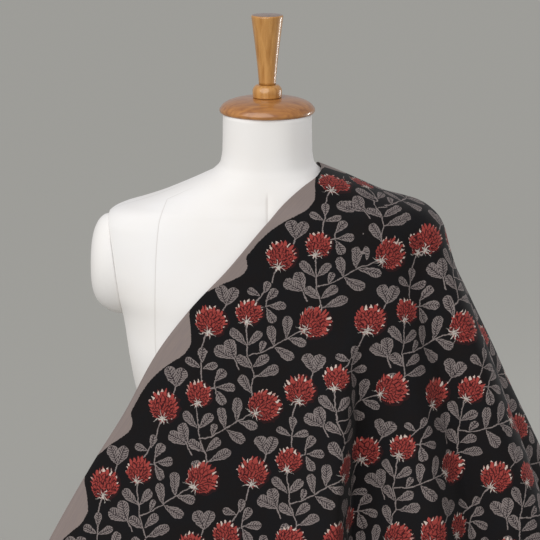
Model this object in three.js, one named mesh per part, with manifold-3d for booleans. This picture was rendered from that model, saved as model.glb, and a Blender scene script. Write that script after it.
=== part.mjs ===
// Block-printed cotton draped over one shoulder of a tabletop dress form.
// Millimetres, +Z up, the form's front towards -Y, its left shoulder as it faces you towards +X.
// The origin is the middle of the form's flat base, which stands on the surface.
// The cloth is one length: it comes up from the left, over the +X shoulder, and falls like a tent.

import * as THREE from "three";
import { mergeVertices } from "three/addons/utils/BufferGeometryUtils.js";
import Module from "manifold-3d";

const wasm = await Module();
wasm.setup();

const GAP = 0.3; // between pieces that are fitted face to face

// ---- Driving dimensions of the form ----

const NECK_TOP = 683;
const SECTION_POWER = 2.3; // 2 is an ellipse, more is boxier
const TORSO_COLUMNS = 44;
const TORSO_ROWS = 42;

// Half width, and depth in front of and behind the axis, at each height.
const TORSO = [
  { z: 0, half: 165, front: 100, back: 116 }, // hips
  { z: 55, half: 163, front: 99, back: 115 },
  { z: 130, half: 144, front: 92, back: 97 },
  { z: 205, half: 126, front: 84, back: 78 }, // waist
  { z: 275, half: 140, front: 97, back: 84 },
  { z: 344, half: 158, front: 108, back: 94 }, // bust
  { z: 399, half: 170, front: 108, back: 100 },
  { z: 430, half: 173.5, front: 105, back: 103 }, // underarm
  { z: 445, half: 177, front: 103.5, back: 104 },
  { z: 470, half: 189, front: 100, back: 104.5 },
  { z: 500, half: 197, front: 94, back: 103 },
  { z: 530, half: 199, front: 87, back: 99 },
  { z: 550, half: 197, front: 81, back: 93 },
  { z: 559.5, half: 192, front: 77.5, back: 89 }, // end of the shoulder
  { z: 567, half: 184, front: 74.5, back: 85.5 },
  { z: 571.5, half: 174, front: 73, back: 83 },
  { z: 576.3, half: 157, front: 71, back: 80 },
  { z: 585.3, half: 129, front: 67, back: 75 },
  { z: 590.8, half: 115, front: 65, back: 72 },
  { z: 606.2, half: 79, front: 59.5, back: 64 },
  { z: 612.6, half: 66, front: 57.5, back: 61 }, // root of the neck
  { z: 624.8, half: 55.5, front: 54.5, back: 57 },
  { z: 640, half: 53.2, front: 53.5, back: 55 },
  { z: NECK_TOP, half: 52.4, front: 53, back: 53 },
];

// The bust stands proud of the sections, and fades out within a short depth of the sides.
const BUST = { x: 82, z: 352, proud: 22, widthX: 46, widthZ: 52, fade: 60 };

// The armhole is a slanted flat face, and a padded stub closes it.
const ARMHOLE = { x: 172, z: 448, slope: 0.14 }; // x of the face at z, and how it leans out upwards
const STUB = { z: 500, high: 61, deep: 46, proud: 31.5, lean: 0.0048, power: 3.2, rings: 7, columns: 28 };

// ---- Driving dimensions of the turned wood ----

const CAP = { radius: 56.5, rim: 7.5, top: 701 };
const COLLAR = { radius: 17.5, bottom: CAP.top + GAP, top: 716.5 };
const HANDLE = { bottom: COLLAR.top + GAP, top: 798.5, radiusLow: 10, radiusHigh: 18.9, edge: 1.8 };
const TURNED_SEGMENTS = 40;

// ---- Driving dimensions of the cloth ----

const CLOTH_THICKNESS = 1.6;
const CLOTH_COLUMNS = 72;
const CLOTH_ROWS = 26;
const CLOTH_TOP = 618.4; // where the front selvedge crosses the root of the neck
const CLOTH_HEM = 0.9;
const ROW_CROWDING = 1.6; // rows crowd towards the shoulder

// How far the cloth reaches to +X, in front of and behind the axis, at each height. "turn" is how
// much its front turns back towards its selvedge, and "power" is how boxy its section is.
const DRAPE = [
  { z: 618.4, right: 64, front: 59, back: 63, turn: 100, power: 2.3 },
  { z: 613.2, right: 77.4, front: 63.4, back: 67.4, turn: 100, power: 2.3 },
  { z: 604.8, right: 98, front: 67.5, back: 71.5, turn: 100, power: 2.3 },
  { z: 588.8, right: 134, front: 72, back: 79.5, turn: 100, power: 2.3 },
  { z: 581.5, right: 152, front: 75, back: 83, turn: 100, power: 2.3 },
  { z: 577.4, right: 168, front: 78.5, back: 87.5, turn: 100, power: 2.3 },
  { z: 571.4, right: 187.5, front: 82.5, back: 92.5, turn: 100, power: 2.35 }, // end of the shoulder
  { z: 561.6, right: 200.3, front: 86, back: 97, turn: 100, power: 2.5 },
  { z: 554.6, right: 206.3, front: 88.5, back: 99.5, turn: 100, power: 2.6 },
  { z: 544, right: 211.6, front: 91.5, back: 102.5, turn: 100, power: 2.7 },
  { z: 531, right: 215, front: 94, back: 105, turn: 100, power: 2.85 },
  { z: 497, right: 225, front: 101, back: 110, turn: 100, power: 3.2 },
  { z: 449, right: 243, front: 111, back: 113, turn: 95, power: 3.8 },
  { z: 399, right: 262, front: 122, back: 116, turn: 85, power: 4 },
  { z: 342, right: 282, front: 132, back: 121, turn: 70, power: 4 },
  { z: 277, right: 308, front: 143, back: 128, turn: 58, power: 4 },
  { z: 200, right: 338, front: 156, back: 138, turn: 50, power: 3.8 },
  { z: 100, right: 370, front: 172, back: 151, turn: 44, power: 3.6 },
  { z: 0, right: 398, front: 186, back: 163, turn: 40, power: 3.5 },
];

// Where the selvedge runs, in front and behind.
const FRONT_SELVEDGE = [
  { z: 618.4, x: 64 },
  { z: 616, x: 60 },
  { z: 607.5, x: 43 },
  { z: 567, x: -1 },
  { z: 514, x: -47 },
  { z: 470, x: -88.5 },
  { z: 415, x: -130 },
  { z: 347, x: -167 },
  { z: 286, x: -205 },
  { z: 196, x: -256 },
  { z: 100, x: -304 },
  { z: 0, x: -349 },
];
const BACK_SELVEDGE = [
  { z: 618.4, x: 64 },
  { z: 615, x: 60 },
  { z: 597, x: 56 },
  { z: 558, x: 48 },
  { z: 500, x: 37 },
  { z: 400, x: 21 },
  { z: 200, x: -4 },
  { z: 0, x: -24 },
];
const BUST_UNDER_CLOTH = { x: 88, z: 370, proud: 6, widthX: 55, widthZ: 60 };

// A fold runs down the cloth at one place across it: -1 is the front selvedge, 0 the far +X side,
// 1 the back selvedge. It starts at one height and has its full depth from another down to the hem.
// Out is positive. "near" is its spread towards the front selvedge, "far" towards the back one.
const FOLDS = [
  { at: -0.86, start: 330, full: 0, depth: 5, near: 50, far: 60 },
  { at: -0.52, start: 440, full: 250, depth: 22, near: 42, far: 12 }, // the main fold, below the bust
  { at: -0.482, start: 440, full: 230, depth: -42, near: 12, far: 52 }, // the dark valley beside it
  { at: -0.35, start: 400, full: 200, depth: 12, near: 30, far: 24 },
  { at: -0.265, start: 590, full: 330, depth: -34, near: 34, far: 24 }, // the soft valley
  { at: -0.15, start: 520, full: 300, depth: 12, near: 40, far: 36 },
  { at: -0.03, start: 470, full: 200, depth: -16, near: 24, far: 24 },
  { at: 0.08, start: 500, full: 200, depth: 26, near: 30, far: 28 },
  { at: 0.2, start: 520, full: 200, depth: -34, near: 28, far: 30 },
  { at: 0.33, start: 500, full: 200, depth: 24, near: 34, far: 26 },
  { at: 0.46, start: 460, full: 180, depth: -32, near: 28, far: 28 },
  { at: 0.6, start: 480, full: 200, depth: 22, near: 34, far: 30 },
  { at: 0.74, start: 430, full: 180, depth: -24, near: 28, far: 28 },
  { at: 0.88, start: 400, full: 150, depth: 12, near: 26, far: 30 },
];
const FOLD_EASE = 1.6; // a fold deepens fast below its start and then less and less
const COLUMN_CROWDING = { width: 0.035, depth: 9 }; // columns stand closer where a deep fold bends the cloth

// ---- Curves through the tables ----

// A smooth curve through one column of a table that never swings past its neighbours.
function readTable(rows, column, z) {
  const sorted = [...rows].sort((a, b) => a.z - b.z);
  const last = sorted.length - 1;
  const clamped = Math.min(Math.max(z, sorted[0].z), sorted[last].z);
  let i = 0;
  while (i < last - 1 && clamped > sorted[i + 1].z) i += 1;
  const step = (k) => sorted[k + 1].z - sorted[k].z;
  const slope = (k) => (sorted[k + 1][column] - sorted[k][column]) / step(k);
  const tangent = (k) => {
    if (k === 0) return slope(0);
    if (k === last) return slope(last - 1);
    if (slope(k - 1) * slope(k) <= 0) return 0;
    const before = 2 * step(k) + step(k - 1);
    const after = step(k) + 2 * step(k - 1);
    return (before + after) / (before / slope(k - 1) + after / slope(k));
  };
  const t = (clamped - sorted[i].z) / step(i);
  const rest = 1 - t;
  return (
    (1 + 2 * t) * rest * rest * sorted[i][column] +
    t * rest * rest * step(i) * tangent(i) +
    t * t * (3 - 2 * t) * sorted[i + 1][column] +
    t * t * (t - 1) * step(i) * tangent(i + 1)
  );
}

const bell = (distance, width) => Math.exp(-((distance / width) ** 2));
const signedPower = (value, power) => Math.sign(value) * Math.abs(value) ** power;

// ---- Meshes ----

// A closed body through rings of equally many points, with a fan over each end.
function bodyThroughRings(rings) {
  const columns = rings[0].length;
  const points = rings.flat();
  const faces = [];
  for (let r = 0; r < rings.length - 1; r += 1) {
    for (let c = 0; c < columns; c += 1) {
      const next = (c + 1) % columns;
      const low = r * columns;
      const high = low + columns;
      faces.push([low + c, low + next, high + next], [low + c, high + next, high + c]);
    }
  }
  for (const [ring, flip] of [[0, true], [rings.length - 1, false]]) {
    const centre = points.length;
    const middle = new THREE.Vector3();
    rings[ring].forEach((p) => middle.add(p));
    points.push(middle.divideScalar(columns));
    for (let c = 0; c < columns; c += 1) {
      const a = ring * columns + c;
      const b = ring * columns + ((c + 1) % columns);
      faces.push(flip ? [centre, b, a] : [centre, a, b]);
    }
  }
  return meshGeometry(points, faces);
}

function meshGeometry(points, faces) {
  const geometry = new THREE.BufferGeometry();
  const positions = new Float32Array(points.flatMap((p) => [p.x, p.y, p.z]));
  geometry.setAttribute("position", new THREE.BufferAttribute(positions, 3));
  geometry.setIndex(faces.flat());
  return geometry;
}

function toManifold(geometry) {
  const bare = geometry.clone();
  bare.deleteAttribute("normal");
  bare.deleteAttribute("uv");
  const merged = mergeVertices(bare);
  const mesh = new wasm.Mesh({
    numProp: 3,
    vertProperties: new Float32Array(merged.attributes.position.array),
    triVerts: new Uint32Array(merged.index.array),
  });
  return new wasm.Manifold(mesh);
}

function fromManifold(manifold) {
  const mesh = manifold.getMesh();
  const geometry = new THREE.BufferGeometry();
  geometry.setAttribute("position", new THREE.BufferAttribute(new Float32Array(mesh.vertProperties), 3));
  geometry.setIndex(new THREE.BufferAttribute(new Uint32Array(mesh.triVerts), 1));
  return geometry;
}

// ---- The padded body ----

const armholeX = (z) => ARMHOLE.x + (z - ARMHOLE.z) * ARMHOLE.slope;

function torsoRing(z) {
  const half = readTable(TORSO, "half", z);
  const front = readTable(TORSO, "front", z);
  const back = readTable(TORSO, "back", z);
  const ring = [];
  for (let c = 0; c < TORSO_COLUMNS; c += 1) {
    const angle = (2 * Math.PI * (c + 0.5)) / TORSO_COLUMNS;
    const x = half * signedPower(Math.cos(angle), 2 / SECTION_POWER);
    const depth = Math.sin(angle) < 0 ? front : back;
    let y = depth * signedPower(Math.sin(angle), 2 / SECTION_POWER);
    if (y < 0) {
      const high = bell(z - BUST.z, BUST.widthZ) * BUST.proud * Math.min(1, -y / BUST.fade);
      y -= high * (bell(x - BUST.x, BUST.widthX) + bell(x + BUST.x, BUST.widthX));
    }
    ring.push(new THREE.Vector3(x, y, z));
  }
  return ring;
}

// Rings crowd where the shoulder slopes, so that its line stays smooth.
function torsoHeights() {
  const shoulder = { z: 588, width: 36, more: 2.6 };
  const armhole = { z: 450, width: 40, more: 0.5 };
  const weight = (z) => 1 + [shoulder, armhole].reduce((sum, s) => sum + s.more * bell(z - s.z, s.width), 0);
  return spread(0, NECK_TOP, TORSO_ROWS, weight);
}

// Values from low to high, closer together where the weight is larger.
function spread(low, high, count, weight) {
  const samples = 2000;
  const total = [0];
  for (let i = 1; i <= samples; i += 1) {
    total.push(total[i - 1] + weight(low + ((high - low) * (i - 0.5)) / samples));
  }
  const values = [];
  let i = 0;
  for (let k = 0; k <= count; k += 1) {
    const goal = (total[samples] * k) / count;
    while (i < samples && total[i] < goal) i += 1;
    values.push(low + ((high - low) * i) / samples);
  }
  values[0] = low;
  values[count] = high;
  return values;
}

function armholeCutter(side) {
  const depth = 120;
  const tall = 260;
  const corners = [
    [armholeX(ARMHOLE.z - tall / 2), ARMHOLE.z - tall / 2],
    [armholeX(ARMHOLE.z - tall / 2) + 100, ARMHOLE.z - tall / 2],
    [armholeX(ARMHOLE.z + tall / 2) + 100, ARMHOLE.z + tall / 2],
    [armholeX(ARMHOLE.z + tall / 2), ARMHOLE.z + tall / 2],
  ];
  const outline = new THREE.Shape(corners.map(([x, z]) => new THREE.Vector2(side * x, z)));
  const block = new THREE.ExtrudeGeometry(outline, { depth: 2 * depth, bevelEnabled: false });
  block.rotateX(Math.PI / 2);
  block.translate(0, depth, 0);
  return toManifold(block);
}

function torsoGeometry() {
  let torso = toManifold(bodyThroughRings(torsoHeights().map(torsoRing)));
  for (const side of [-1, 1]) torso = torso.subtract(armholeCutter(side));
  return fromManifold(torso);
}

// A domed pad over the armhole, fuller towards its lower end.
function stubGeometry(side) {
  const rings = [];
  for (let r = 0; r <= STUB.rings; r += 1) {
    const out = 1 - r / (STUB.rings + 0.6); // the last ring keeps a little size, and a fan closes it
    const ring = [];
    for (let c = 0; c < STUB.columns; c += 1) {
      const angle = (2 * Math.PI * c) / STUB.columns;
      const z = STUB.z + out * STUB.high * Math.sin(angle);
      const y = out * STUB.deep * Math.cos(angle);
      const dome = Math.sqrt(Math.max(0, 1 - out ** STUB.power)) * STUB.proud;
      const x = armholeX(z) + GAP + dome * (1 + STUB.lean * (STUB.z - z));
      ring.push(new THREE.Vector3(side * x, y, z));
    }
    rings.push(side > 0 ? ring.reverse() : ring);
  }
  const geometry = bodyThroughRings(rings);
  if (toManifold(geometry).volume() < 0) geometry.index.array.reverse(); // its faces must look outwards
  return geometry;
}

// ---- The turned wood ----

function turned(profile) {
  const points = profile.map(([radius, z]) => new THREE.Vector2(radius, z));
  const geometry = new THREE.LatheGeometry(points, TURNED_SEGMENTS);
  geometry.rotateX(Math.PI / 2);
  return geometry;
}

// Points of a quarter or half round from one angle to another, in degrees from the radius direction.
function arc(centreRadius, centreZ, radius, height, from, to, steps) {
  const points = [];
  for (let i = 0; i <= steps; i += 1) {
    const angle = THREE.MathUtils.degToRad(from + ((to - from) * i) / steps);
    points.push([centreRadius + radius * Math.cos(angle), centreZ + height * Math.sin(angle)]);
  }
  return points;
}

function capGeometry() {
  const under = NECK_TOP + GAP;
  return turned([
    [0, under],
    [CAP.radius - 2.4, under],
    ...arc(CAP.radius - 2.4, under + 3.2, 2.4, 3.2, -70, 30, 5),
    ...arc(16, under + CAP.rim - 2.5, CAP.radius - 17.5, CAP.top - under - CAP.rim + 2.5, 14, 88, 7),
    [0, CAP.top],
  ]);
}

// A small bead: straight below and rounded over.
function collarGeometry() {
  const { radius, bottom, top } = COLLAR;
  return turned([
    [0, bottom],
    [radius - 1.4, bottom],
    [radius, bottom + 1.8],
    ...arc(radius - 7, bottom + 6.5, 7, top - bottom - 6.5, -8, 86, 8),
    [0, top],
  ]);
}

// A slight trumpet, with a narrow rounded edge round its top.
function handleGeometry() {
  const { bottom, top, radiusLow, radiusHigh, edge } = HANDLE;
  const flare = [];
  for (let i = 0; i <= 6; i += 1) {
    const share = i / 6;
    flare.push([radiusLow + (radiusHigh - radiusLow) * share ** 1.22, bottom + (top - edge - bottom) * share]);
  }
  return turned([[0, bottom], ...flare, ...arc(radiusHigh - edge, top - edge, edge, edge, 20, 80, 3), [0, top + 0.6]]);
}

// ---- The cloth ----

// One side of the bare drape at a height, from its selvedge to the far +X side, without folds.
function drapeSide(z, front) {
  const right = readTable(DRAPE, "right", z);
  const depth = readTable(DRAPE, front ? "front" : "back", z);
  const turn = readTable(DRAPE, "turn", z);
  const edge = Math.min(readTable(front ? FRONT_SELVEDGE : BACK_SELVEDGE, "x", z), right - 0.001);
  const power = readTable(DRAPE, "power", z);
  const steps = 240;
  const points = [];
  const add = (x, out) => {
    const { proud, widthX, widthZ } = BUST_UNDER_CLOTH;
    const bust = front ? proud * bell(x - BUST_UNDER_CLOTH.x, widthX) * bell(z - BUST_UNDER_CLOTH.z, widthZ) : 0;
    points.push(new THREE.Vector2(x, front ? -out - bust : out));
  };
  if (edge < 0) {
    for (let i = 0; i < steps; i += 1) {
      const x = edge * (1 - i / steps);
      add(x, depth - turn * (x / 300) ** 2);
    }
  }
  const first = edge > 0 ? Math.acos((edge / right) ** (power / 2)) : Math.PI / 2;
  for (let i = 0; i <= steps; i += 1) {
    const angle = first * (1 - i / steps);
    add(right * Math.cos(angle) ** (2 / power), depth * Math.sin(angle) ** (2 / power));
  }
  return points;
}

// A side measured along itself: place(share) gives the point, direction and length there.
function measured(points) {
  const lengths = [0];
  for (let i = 1; i < points.length; i += 1) {
    lengths.push(lengths[i - 1] + points[i].distanceTo(points[i - 1]));
  }
  const whole = lengths[points.length - 1];
  const at = (distance) => {
    const goal = Math.min(Math.max(distance, 0), whole);
    let low = 0;
    let high = points.length - 1;
    while (high - low > 1) {
      const middle = (low + high) >> 1;
      if (lengths[middle] > goal) high = middle;
      else low = middle;
    }
    const part = (goal - lengths[low]) / Math.max(lengths[high] - lengths[low], 1e-9);
    return points[low].clone().lerp(points[high], part);
  };
  return { whole, at };
}

function foldHeight(across, z, frontLength, backLength) {
  let height = 0;
  for (const fold of FOLDS) {
    if (z >= fold.start) continue;
    const share = Math.min(1, (fold.start - z) / (fold.start - fold.full));
    const grown = 1 - (1 - share) ** FOLD_EASE;
    const along = (place) => (place < 0 ? place * frontLength : place * backLength);
    const distance = along(across) - along(fold.at);
    height += fold.depth * grown * bell(distance, distance < 0 ? fold.near : fold.far);
  }
  return height;
}

// A point in the middle of the sheet's thickness.
function clothPoint(across, z, front, back) {
  const side = across < 0 ? front : back;
  const share = 1 - Math.abs(across);
  const distance = share * side.whole;
  const nudge = 1.5; // the sheet's direction is measured this far to each side
  const point = side.at(distance);
  const tangent = side.at(distance + nudge).sub(side.at(distance - nudge));
  if (across >= 0) tangent.negate();
  if (tangent.length() < 1e-6) tangent.set(0, 1);
  tangent.normalize();
  const height = foldHeight(across, z, front.whole, back.whole);
  return new THREE.Vector3(point.x + tangent.y * height, point.y - tangent.x * height, z);
}

function clothGeometry() {
  const { width, depth } = COLUMN_CROWDING;
  const near = (across) => FOLDS.reduce((sum, f) => sum + Math.abs(f.depth) * bell(across - f.at, width), 0);
  const columns = spread(-1, 1, CLOTH_COLUMNS, (across) => 1 + near(across) / depth);
  const drop = CLOTH_TOP - CLOTH_HEM;
  const rows = [];
  for (let r = 1; r <= CLOTH_ROWS; r += 1) rows.push(CLOTH_TOP - drop * (r / CLOTH_ROWS) ** ROW_CROWDING);
  const middle = rows.map((z) => {
    const front = measured(drapeSide(z, true));
    const back = measured(drapeSide(z, false));
    return columns.map((across) => clothPoint(across, z, front, back));
  });
  return sheetGeometry(new THREE.Vector3(DRAPE[0].right, 0, CLOTH_TOP), middle, CLOTH_THICKNESS);
}

// A sheet of some thickness that fans out from a peak through rows of points.
function sheetGeometry(peak, rows, thickness) {
  const columns = rows[0].length;
  const flat = [peak, ...rows.flat()];
  const index = (r, c) => 1 + r * columns + c;
  const faces = [];
  for (let c = 0; c < columns - 1; c += 1) faces.push([0, index(0, c), index(0, c + 1)]);
  for (let r = 0; r < rows.length - 1; r += 1) {
    for (let c = 0; c < columns - 1; c += 1) {
      faces.push([index(r, c), index(r + 1, c), index(r + 1, c + 1)]);
      faces.push([index(r, c), index(r + 1, c + 1), index(r, c + 1)]);
    }
  }
  const middle = meshGeometry(flat, faces);
  middle.computeVertexNormals();
  const normals = middle.attributes.normal;
  const layer = (side) =>
    flat.map((p, i) => {
      const normal = new THREE.Vector3().fromBufferAttribute(normals, i);
      const moved = p.clone().addScaledVector(normal, (side * thickness) / 2);
      if (i >= index(rows.length - 1, 0)) moved.z = CLOTH_HEM; // the hem is cut level
      return moved;
    });
  const count = flat.length;
  const closed = [...faces, ...faces.map(([a, b, c]) => [count + a, count + c, count + b])];
  const rim = [0];
  for (let r = 0; r < rows.length; r += 1) rim.push(index(r, 0));
  for (let c = 1; c < columns; c += 1) rim.push(index(rows.length - 1, c));
  for (let r = rows.length - 2; r >= 0; r -= 1) rim.push(index(r, columns - 1));
  rim.forEach((a, i) => {
    const b = rim[(i + 1) % rim.length];
    closed.push([a, count + a, count + b], [a, count + b, b]);
  });
  return meshGeometry([...layer(1), ...layer(-1)], closed);
}

// ---- Materials and the assembled part ----

const COTTON_PRINT = { color: 0x1b181a, roughness: 0.9, metalness: 0 };
const COTTON_COVER = { color: 0xe9e7e4, roughness: 0.85, metalness: 0 };
const VARNISHED_BEECH = { color: 0xb9813f, roughness: 0.35, metalness: 0 };

function piece(name, geometry, finish) {
  const mesh = new THREE.Mesh(geometry, new THREE.MeshStandardMaterial(finish));
  mesh.name = name;
  return mesh;
}

const part = new THREE.Group();
part.add(piece("cloth", clothGeometry(), COTTON_PRINT));
part.add(piece("torso", torsoGeometry(), COTTON_COVER));
part.add(piece("arm_stub_left", stubGeometry(-1), COTTON_COVER));
part.add(piece("arm_stub_right", stubGeometry(1), COTTON_COVER));
part.add(piece("neck_cap", capGeometry(), VARNISHED_BEECH));
part.add(piece("finial_collar", collarGeometry(), VARNISHED_BEECH));
part.add(piece("finial_handle", handleGeometry(), VARNISHED_BEECH));

export default part;
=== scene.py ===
# %% [markdown]
# # A block-printed cotton cloth on a tabletop dress form
#
# The real thing is one length of plain-woven cotton, printed by hand with wooden blocks. It is
# thrown over the shoulder of a small padded dress form with a turned beech handle. Every piece
# here is built around a fixed frame, which says where each piece sits and how large it is.

import math

import bmesh
import bpy
import numpy as np
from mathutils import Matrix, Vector


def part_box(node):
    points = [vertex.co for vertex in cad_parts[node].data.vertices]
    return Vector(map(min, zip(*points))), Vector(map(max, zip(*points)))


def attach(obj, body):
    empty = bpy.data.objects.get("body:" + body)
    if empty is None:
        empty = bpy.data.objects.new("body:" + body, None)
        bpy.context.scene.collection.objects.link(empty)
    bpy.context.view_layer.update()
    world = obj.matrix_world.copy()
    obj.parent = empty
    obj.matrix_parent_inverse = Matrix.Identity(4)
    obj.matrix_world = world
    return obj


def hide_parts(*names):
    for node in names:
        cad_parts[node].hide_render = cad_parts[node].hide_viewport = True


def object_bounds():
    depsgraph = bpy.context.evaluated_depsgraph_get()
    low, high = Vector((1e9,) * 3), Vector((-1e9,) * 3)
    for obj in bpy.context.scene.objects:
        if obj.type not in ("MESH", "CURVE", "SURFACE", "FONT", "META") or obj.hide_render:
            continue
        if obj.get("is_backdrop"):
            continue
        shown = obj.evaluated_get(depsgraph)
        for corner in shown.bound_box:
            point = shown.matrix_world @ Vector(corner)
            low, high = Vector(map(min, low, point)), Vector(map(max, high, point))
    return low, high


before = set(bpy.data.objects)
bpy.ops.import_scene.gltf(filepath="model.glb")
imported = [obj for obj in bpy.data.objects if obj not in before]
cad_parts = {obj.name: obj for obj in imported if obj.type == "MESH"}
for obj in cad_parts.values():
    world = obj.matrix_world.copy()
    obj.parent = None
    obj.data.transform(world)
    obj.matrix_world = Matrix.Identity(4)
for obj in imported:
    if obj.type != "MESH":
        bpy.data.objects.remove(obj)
frame_low, frame_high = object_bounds()
MM = 0.001
print("frame box, mm:", [round(v / MM) for v in (*frame_low, *frame_high)])

# %% [markdown]
# ## Two small helpers
#
# Colours are written as sRGB hex codes, as a paint chart has them, but Blender's shaders count
# light in linear numbers, so one function turns the one into the other. The other function adds
# a node to a tree, gives it its settings and links or fills its inputs. A short call for each
# node keeps the whole material readable from top to bottom.


# %% Colours and nodes
def linear(code):
    """The linear colour, with an opaque fourth channel, of an sRGB code such as #b4332b."""
    shares = [int(code[i : i + 2], 16) / 255 for i in (1, 3, 5)]
    bent = [s / 12.92 if s <= 0.04045 else ((s + 0.055) / 1.055) ** 2.4 for s in shares]
    return (*bent, 1.0)


def add(tree, kind, settings=None, inputs=None):
    """Adds a node. An input that is given a socket is linked, and any other is filled."""
    node = tree.nodes.new(kind)
    for name, value in (settings or {}).items():
        setattr(node, name, value)
    for key, value in (inputs or {}).items():
        if isinstance(value, bpy.types.NodeSocket):
            tree.links.new(value, node.inputs[key])
        else:
            node.inputs[key].default_value = value
    return node


print("white cotton, linear:", [round(v, 3) for v in linear("#efedea")])

# %% [markdown]
# ## The camera
#
# A long lens from nearly three metres keeps the form's proportions calm, as a catalogue picture
# does. It stands 14 degrees above the shoulder and aims a little below the neck, so that the
# handle is just inside the top of the picture and the hem runs out of its foot.

# %% Place the camera
CAMERA_DISTANCE = 2.8
CAMERA_RISE = math.radians(14)
LENS = 155.6
AIM_SHARE = 0.615  # of the object's height
AIM_ASIDE = 3.2 * MM

cap_low, cap_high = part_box("neck_cap")
aim = Vector(((cap_low.x + cap_high.x) / 2 + AIM_ASIDE, 0, frame_high.z * AIM_SHARE))
back = Vector((0, -math.cos(CAMERA_RISE), math.sin(CAMERA_RISE)))
camera = bpy.data.objects.new("camera", bpy.data.cameras.new("camera"))
camera.data.lens = LENS
camera.data.sensor_width = 36
camera.location = aim + back * CAMERA_DISTANCE
camera.rotation_euler = (-back).to_track_quat("-Z", "Y").to_euler()
bpy.context.scene.collection.objects.link(camera)
bpy.context.scene.camera = camera
print("camera at", [round(v, 3) for v in camera.location])

# %% [markdown]
# ## Curves through short tables
#
# A pattern cutter notes a body or a drape as a few measures at a few heights and joins them with
# a smooth line. The same is done here: each table has a row for each height, in millimetres, and
# one function draws a curve through a column that never swings past its neighbours.


# %% Read a table
def curve_through(places, values, wanted):
    """A smooth monotone curve through values at rising places, read at the wanted places."""
    places = np.asarray(places, float)
    values = np.asarray(values, float)
    wanted = np.clip(np.asarray(wanted, float), places[0], places[-1])
    step = np.diff(places)
    slope = np.diff(values) / step
    tangent = np.concatenate([[slope[0]], np.zeros(len(slope) - 1), [slope[-1]]])
    for k in range(1, len(slope)):
        if slope[k - 1] * slope[k] > 0:
            before = 2 * step[k] + step[k - 1]
            after = step[k] + 2 * step[k - 1]
            tangent[k] = (before + after) / (before / slope[k - 1] + after / slope[k])
    i = np.clip(np.searchsorted(places, wanted, side="right") - 1, 0, len(step) - 1)
    t = (wanted - places[i]) / step[i]
    rest = 1 - t
    return (
        (1 + 2 * t) * rest * rest * values[i]
        + t * rest * rest * step[i] * tangent[i]
        + t * t * (3 - 2 * t) * values[i + 1]
        - t * t * rest * step[i] * tangent[i + 1]
    )


def column_at(table, column, heights):
    """One column of a table whose first column is the height, read at the wanted heights."""
    rows = sorted(table)
    return curve_through([r[0] for r in rows], [r[column] for r in rows], heights)


def bell(distance, width):
    """A smooth hump, 1 in the middle, that has died away at twice its width."""
    return np.exp(-((distance / width) ** 2))


print("a curve through 0, 10, 12 halfway:", curve_through([0, 1, 2], [0, 10, 12], [0.5, 1.5]))

# %% [markdown]
# ## The drape of the cloth
#
# The cloth hangs from the root of the neck and the end of the shoulder, and falls outwards like
# a tent. A simulation would drape it afresh on each change, so its main shape is set in tables: a
# section at each height, the two lines where its selvedge runs, and a table of folds that grow
# towards the hem. That keeps each fold where the real one is.

# %% Tables of the drape
CLOTH_TOP = 618.4  # where the front selvedge crosses the root of the neck
CLOTH_HEM = 0.9

# height, reach to +X, depth in front, depth behind, how much the sheet turns back past the
# middle, boxiness of the section (2 is an ellipse)
DRAPE = [
    (618.4, 64, 59, 63, 100, 2.3),
    (613.2, 77.4, 63.4, 67.4, 100, 2.3),
    (604.8, 98, 67.5, 71.5, 100, 2.3),
    (588.8, 134, 72, 79.5, 100, 2.3),
    (581.5, 152, 75, 83, 100, 2.3),
    (577.4, 168, 78.5, 87.5, 100, 2.3),
    (571.4, 187.5, 82.5, 92.5, 100, 2.35),  # end of the shoulder
    (561.6, 200.3, 86, 97, 100, 2.5),
    (554.6, 206.3, 88.5, 99.5, 100, 2.6),
    (544, 211.6, 91.5, 102.5, 100, 2.7),
    (531, 215, 94, 105, 100, 2.85),
    (497, 225, 101, 110, 100, 3.2),
    (449, 243, 111, 113, 95, 3.8),
    (399, 262, 122, 116, 85, 4),
    (342, 282, 132, 121, 70, 4),
    (277, 308, 143, 128, 58, 4),
    (200, 338, 156, 138, 50, 3.8),
    (100, 370, 172, 151, 44, 3.6),
    (0, 398, 186, 163, 40, 3.5),
]
REACH, FRONT, BACK, TURN, POWER = 1, 2, 3, 4, 5

# height, x
FRONT_SELVEDGE = [
    (618.4, 64),
    (616, 60),
    (607.5, 43),
    (567, -1),
    (514, -47),
    (470, -88.5),
    (415, -130),
    (347, -167),
    (286, -205),
    (196, -256),
    (100, -304),
    (0, -349),
]
BACK_SELVEDGE = [
    (618.4, 64),
    (615, 60),
    (597, 56),
    (558, 48),
    (500, 37),
    (400, 21),
    (200, -4),
    (0, -24),
]
BUST_X, BUST_Z, BUST_PROUD, BUST_WIDE, BUST_TALL = 88, 370, 6, 55, 60
TURN_REACH = 300  # past the middle, where the sheet has turned back by its whole turn
SIDE_STEPS = 240  # points along one side of a section

# place across (-1 front selvedge, 0 far side, 1 back selvedge), height where it starts, height
# where it has its full depth, that depth (out is positive), spread towards the front selvedge,
# spread the other way
FOLDS = [
    (-0.86, 330, 0, 5, 50, 60),
    (-0.52, 440, 250, 22, 42, 12),  # the main fold, below the bust
    (-0.482, 440, 230, -42, 12, 52),  # the dark valley beside it
    (-0.35, 400, 200, 12, 30, 24),
    (-0.265, 590, 330, -34, 34, 24),  # the soft valley
    (-0.15, 520, 300, 12, 40, 36),
    (-0.03, 470, 200, -16, 24, 24),
    (0.08, 500, 200, 26, 30, 28),
    (0.2, 520, 200, -34, 28, 30),
    (0.33, 500, 200, 24, 34, 26),
    (0.46, 460, 180, -32, 28, 28),
    (0.6, 480, 200, 22, 34, 30),
    (0.74, 430, 180, -24, 28, 28),
    (0.88, 400, 150, 12, 26, 30),
]
FOLD_EASE = 1.6  # a fold deepens fast below its start and then less and less
print(len(DRAPE), "sections and", len(FOLDS), "folds")


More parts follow.
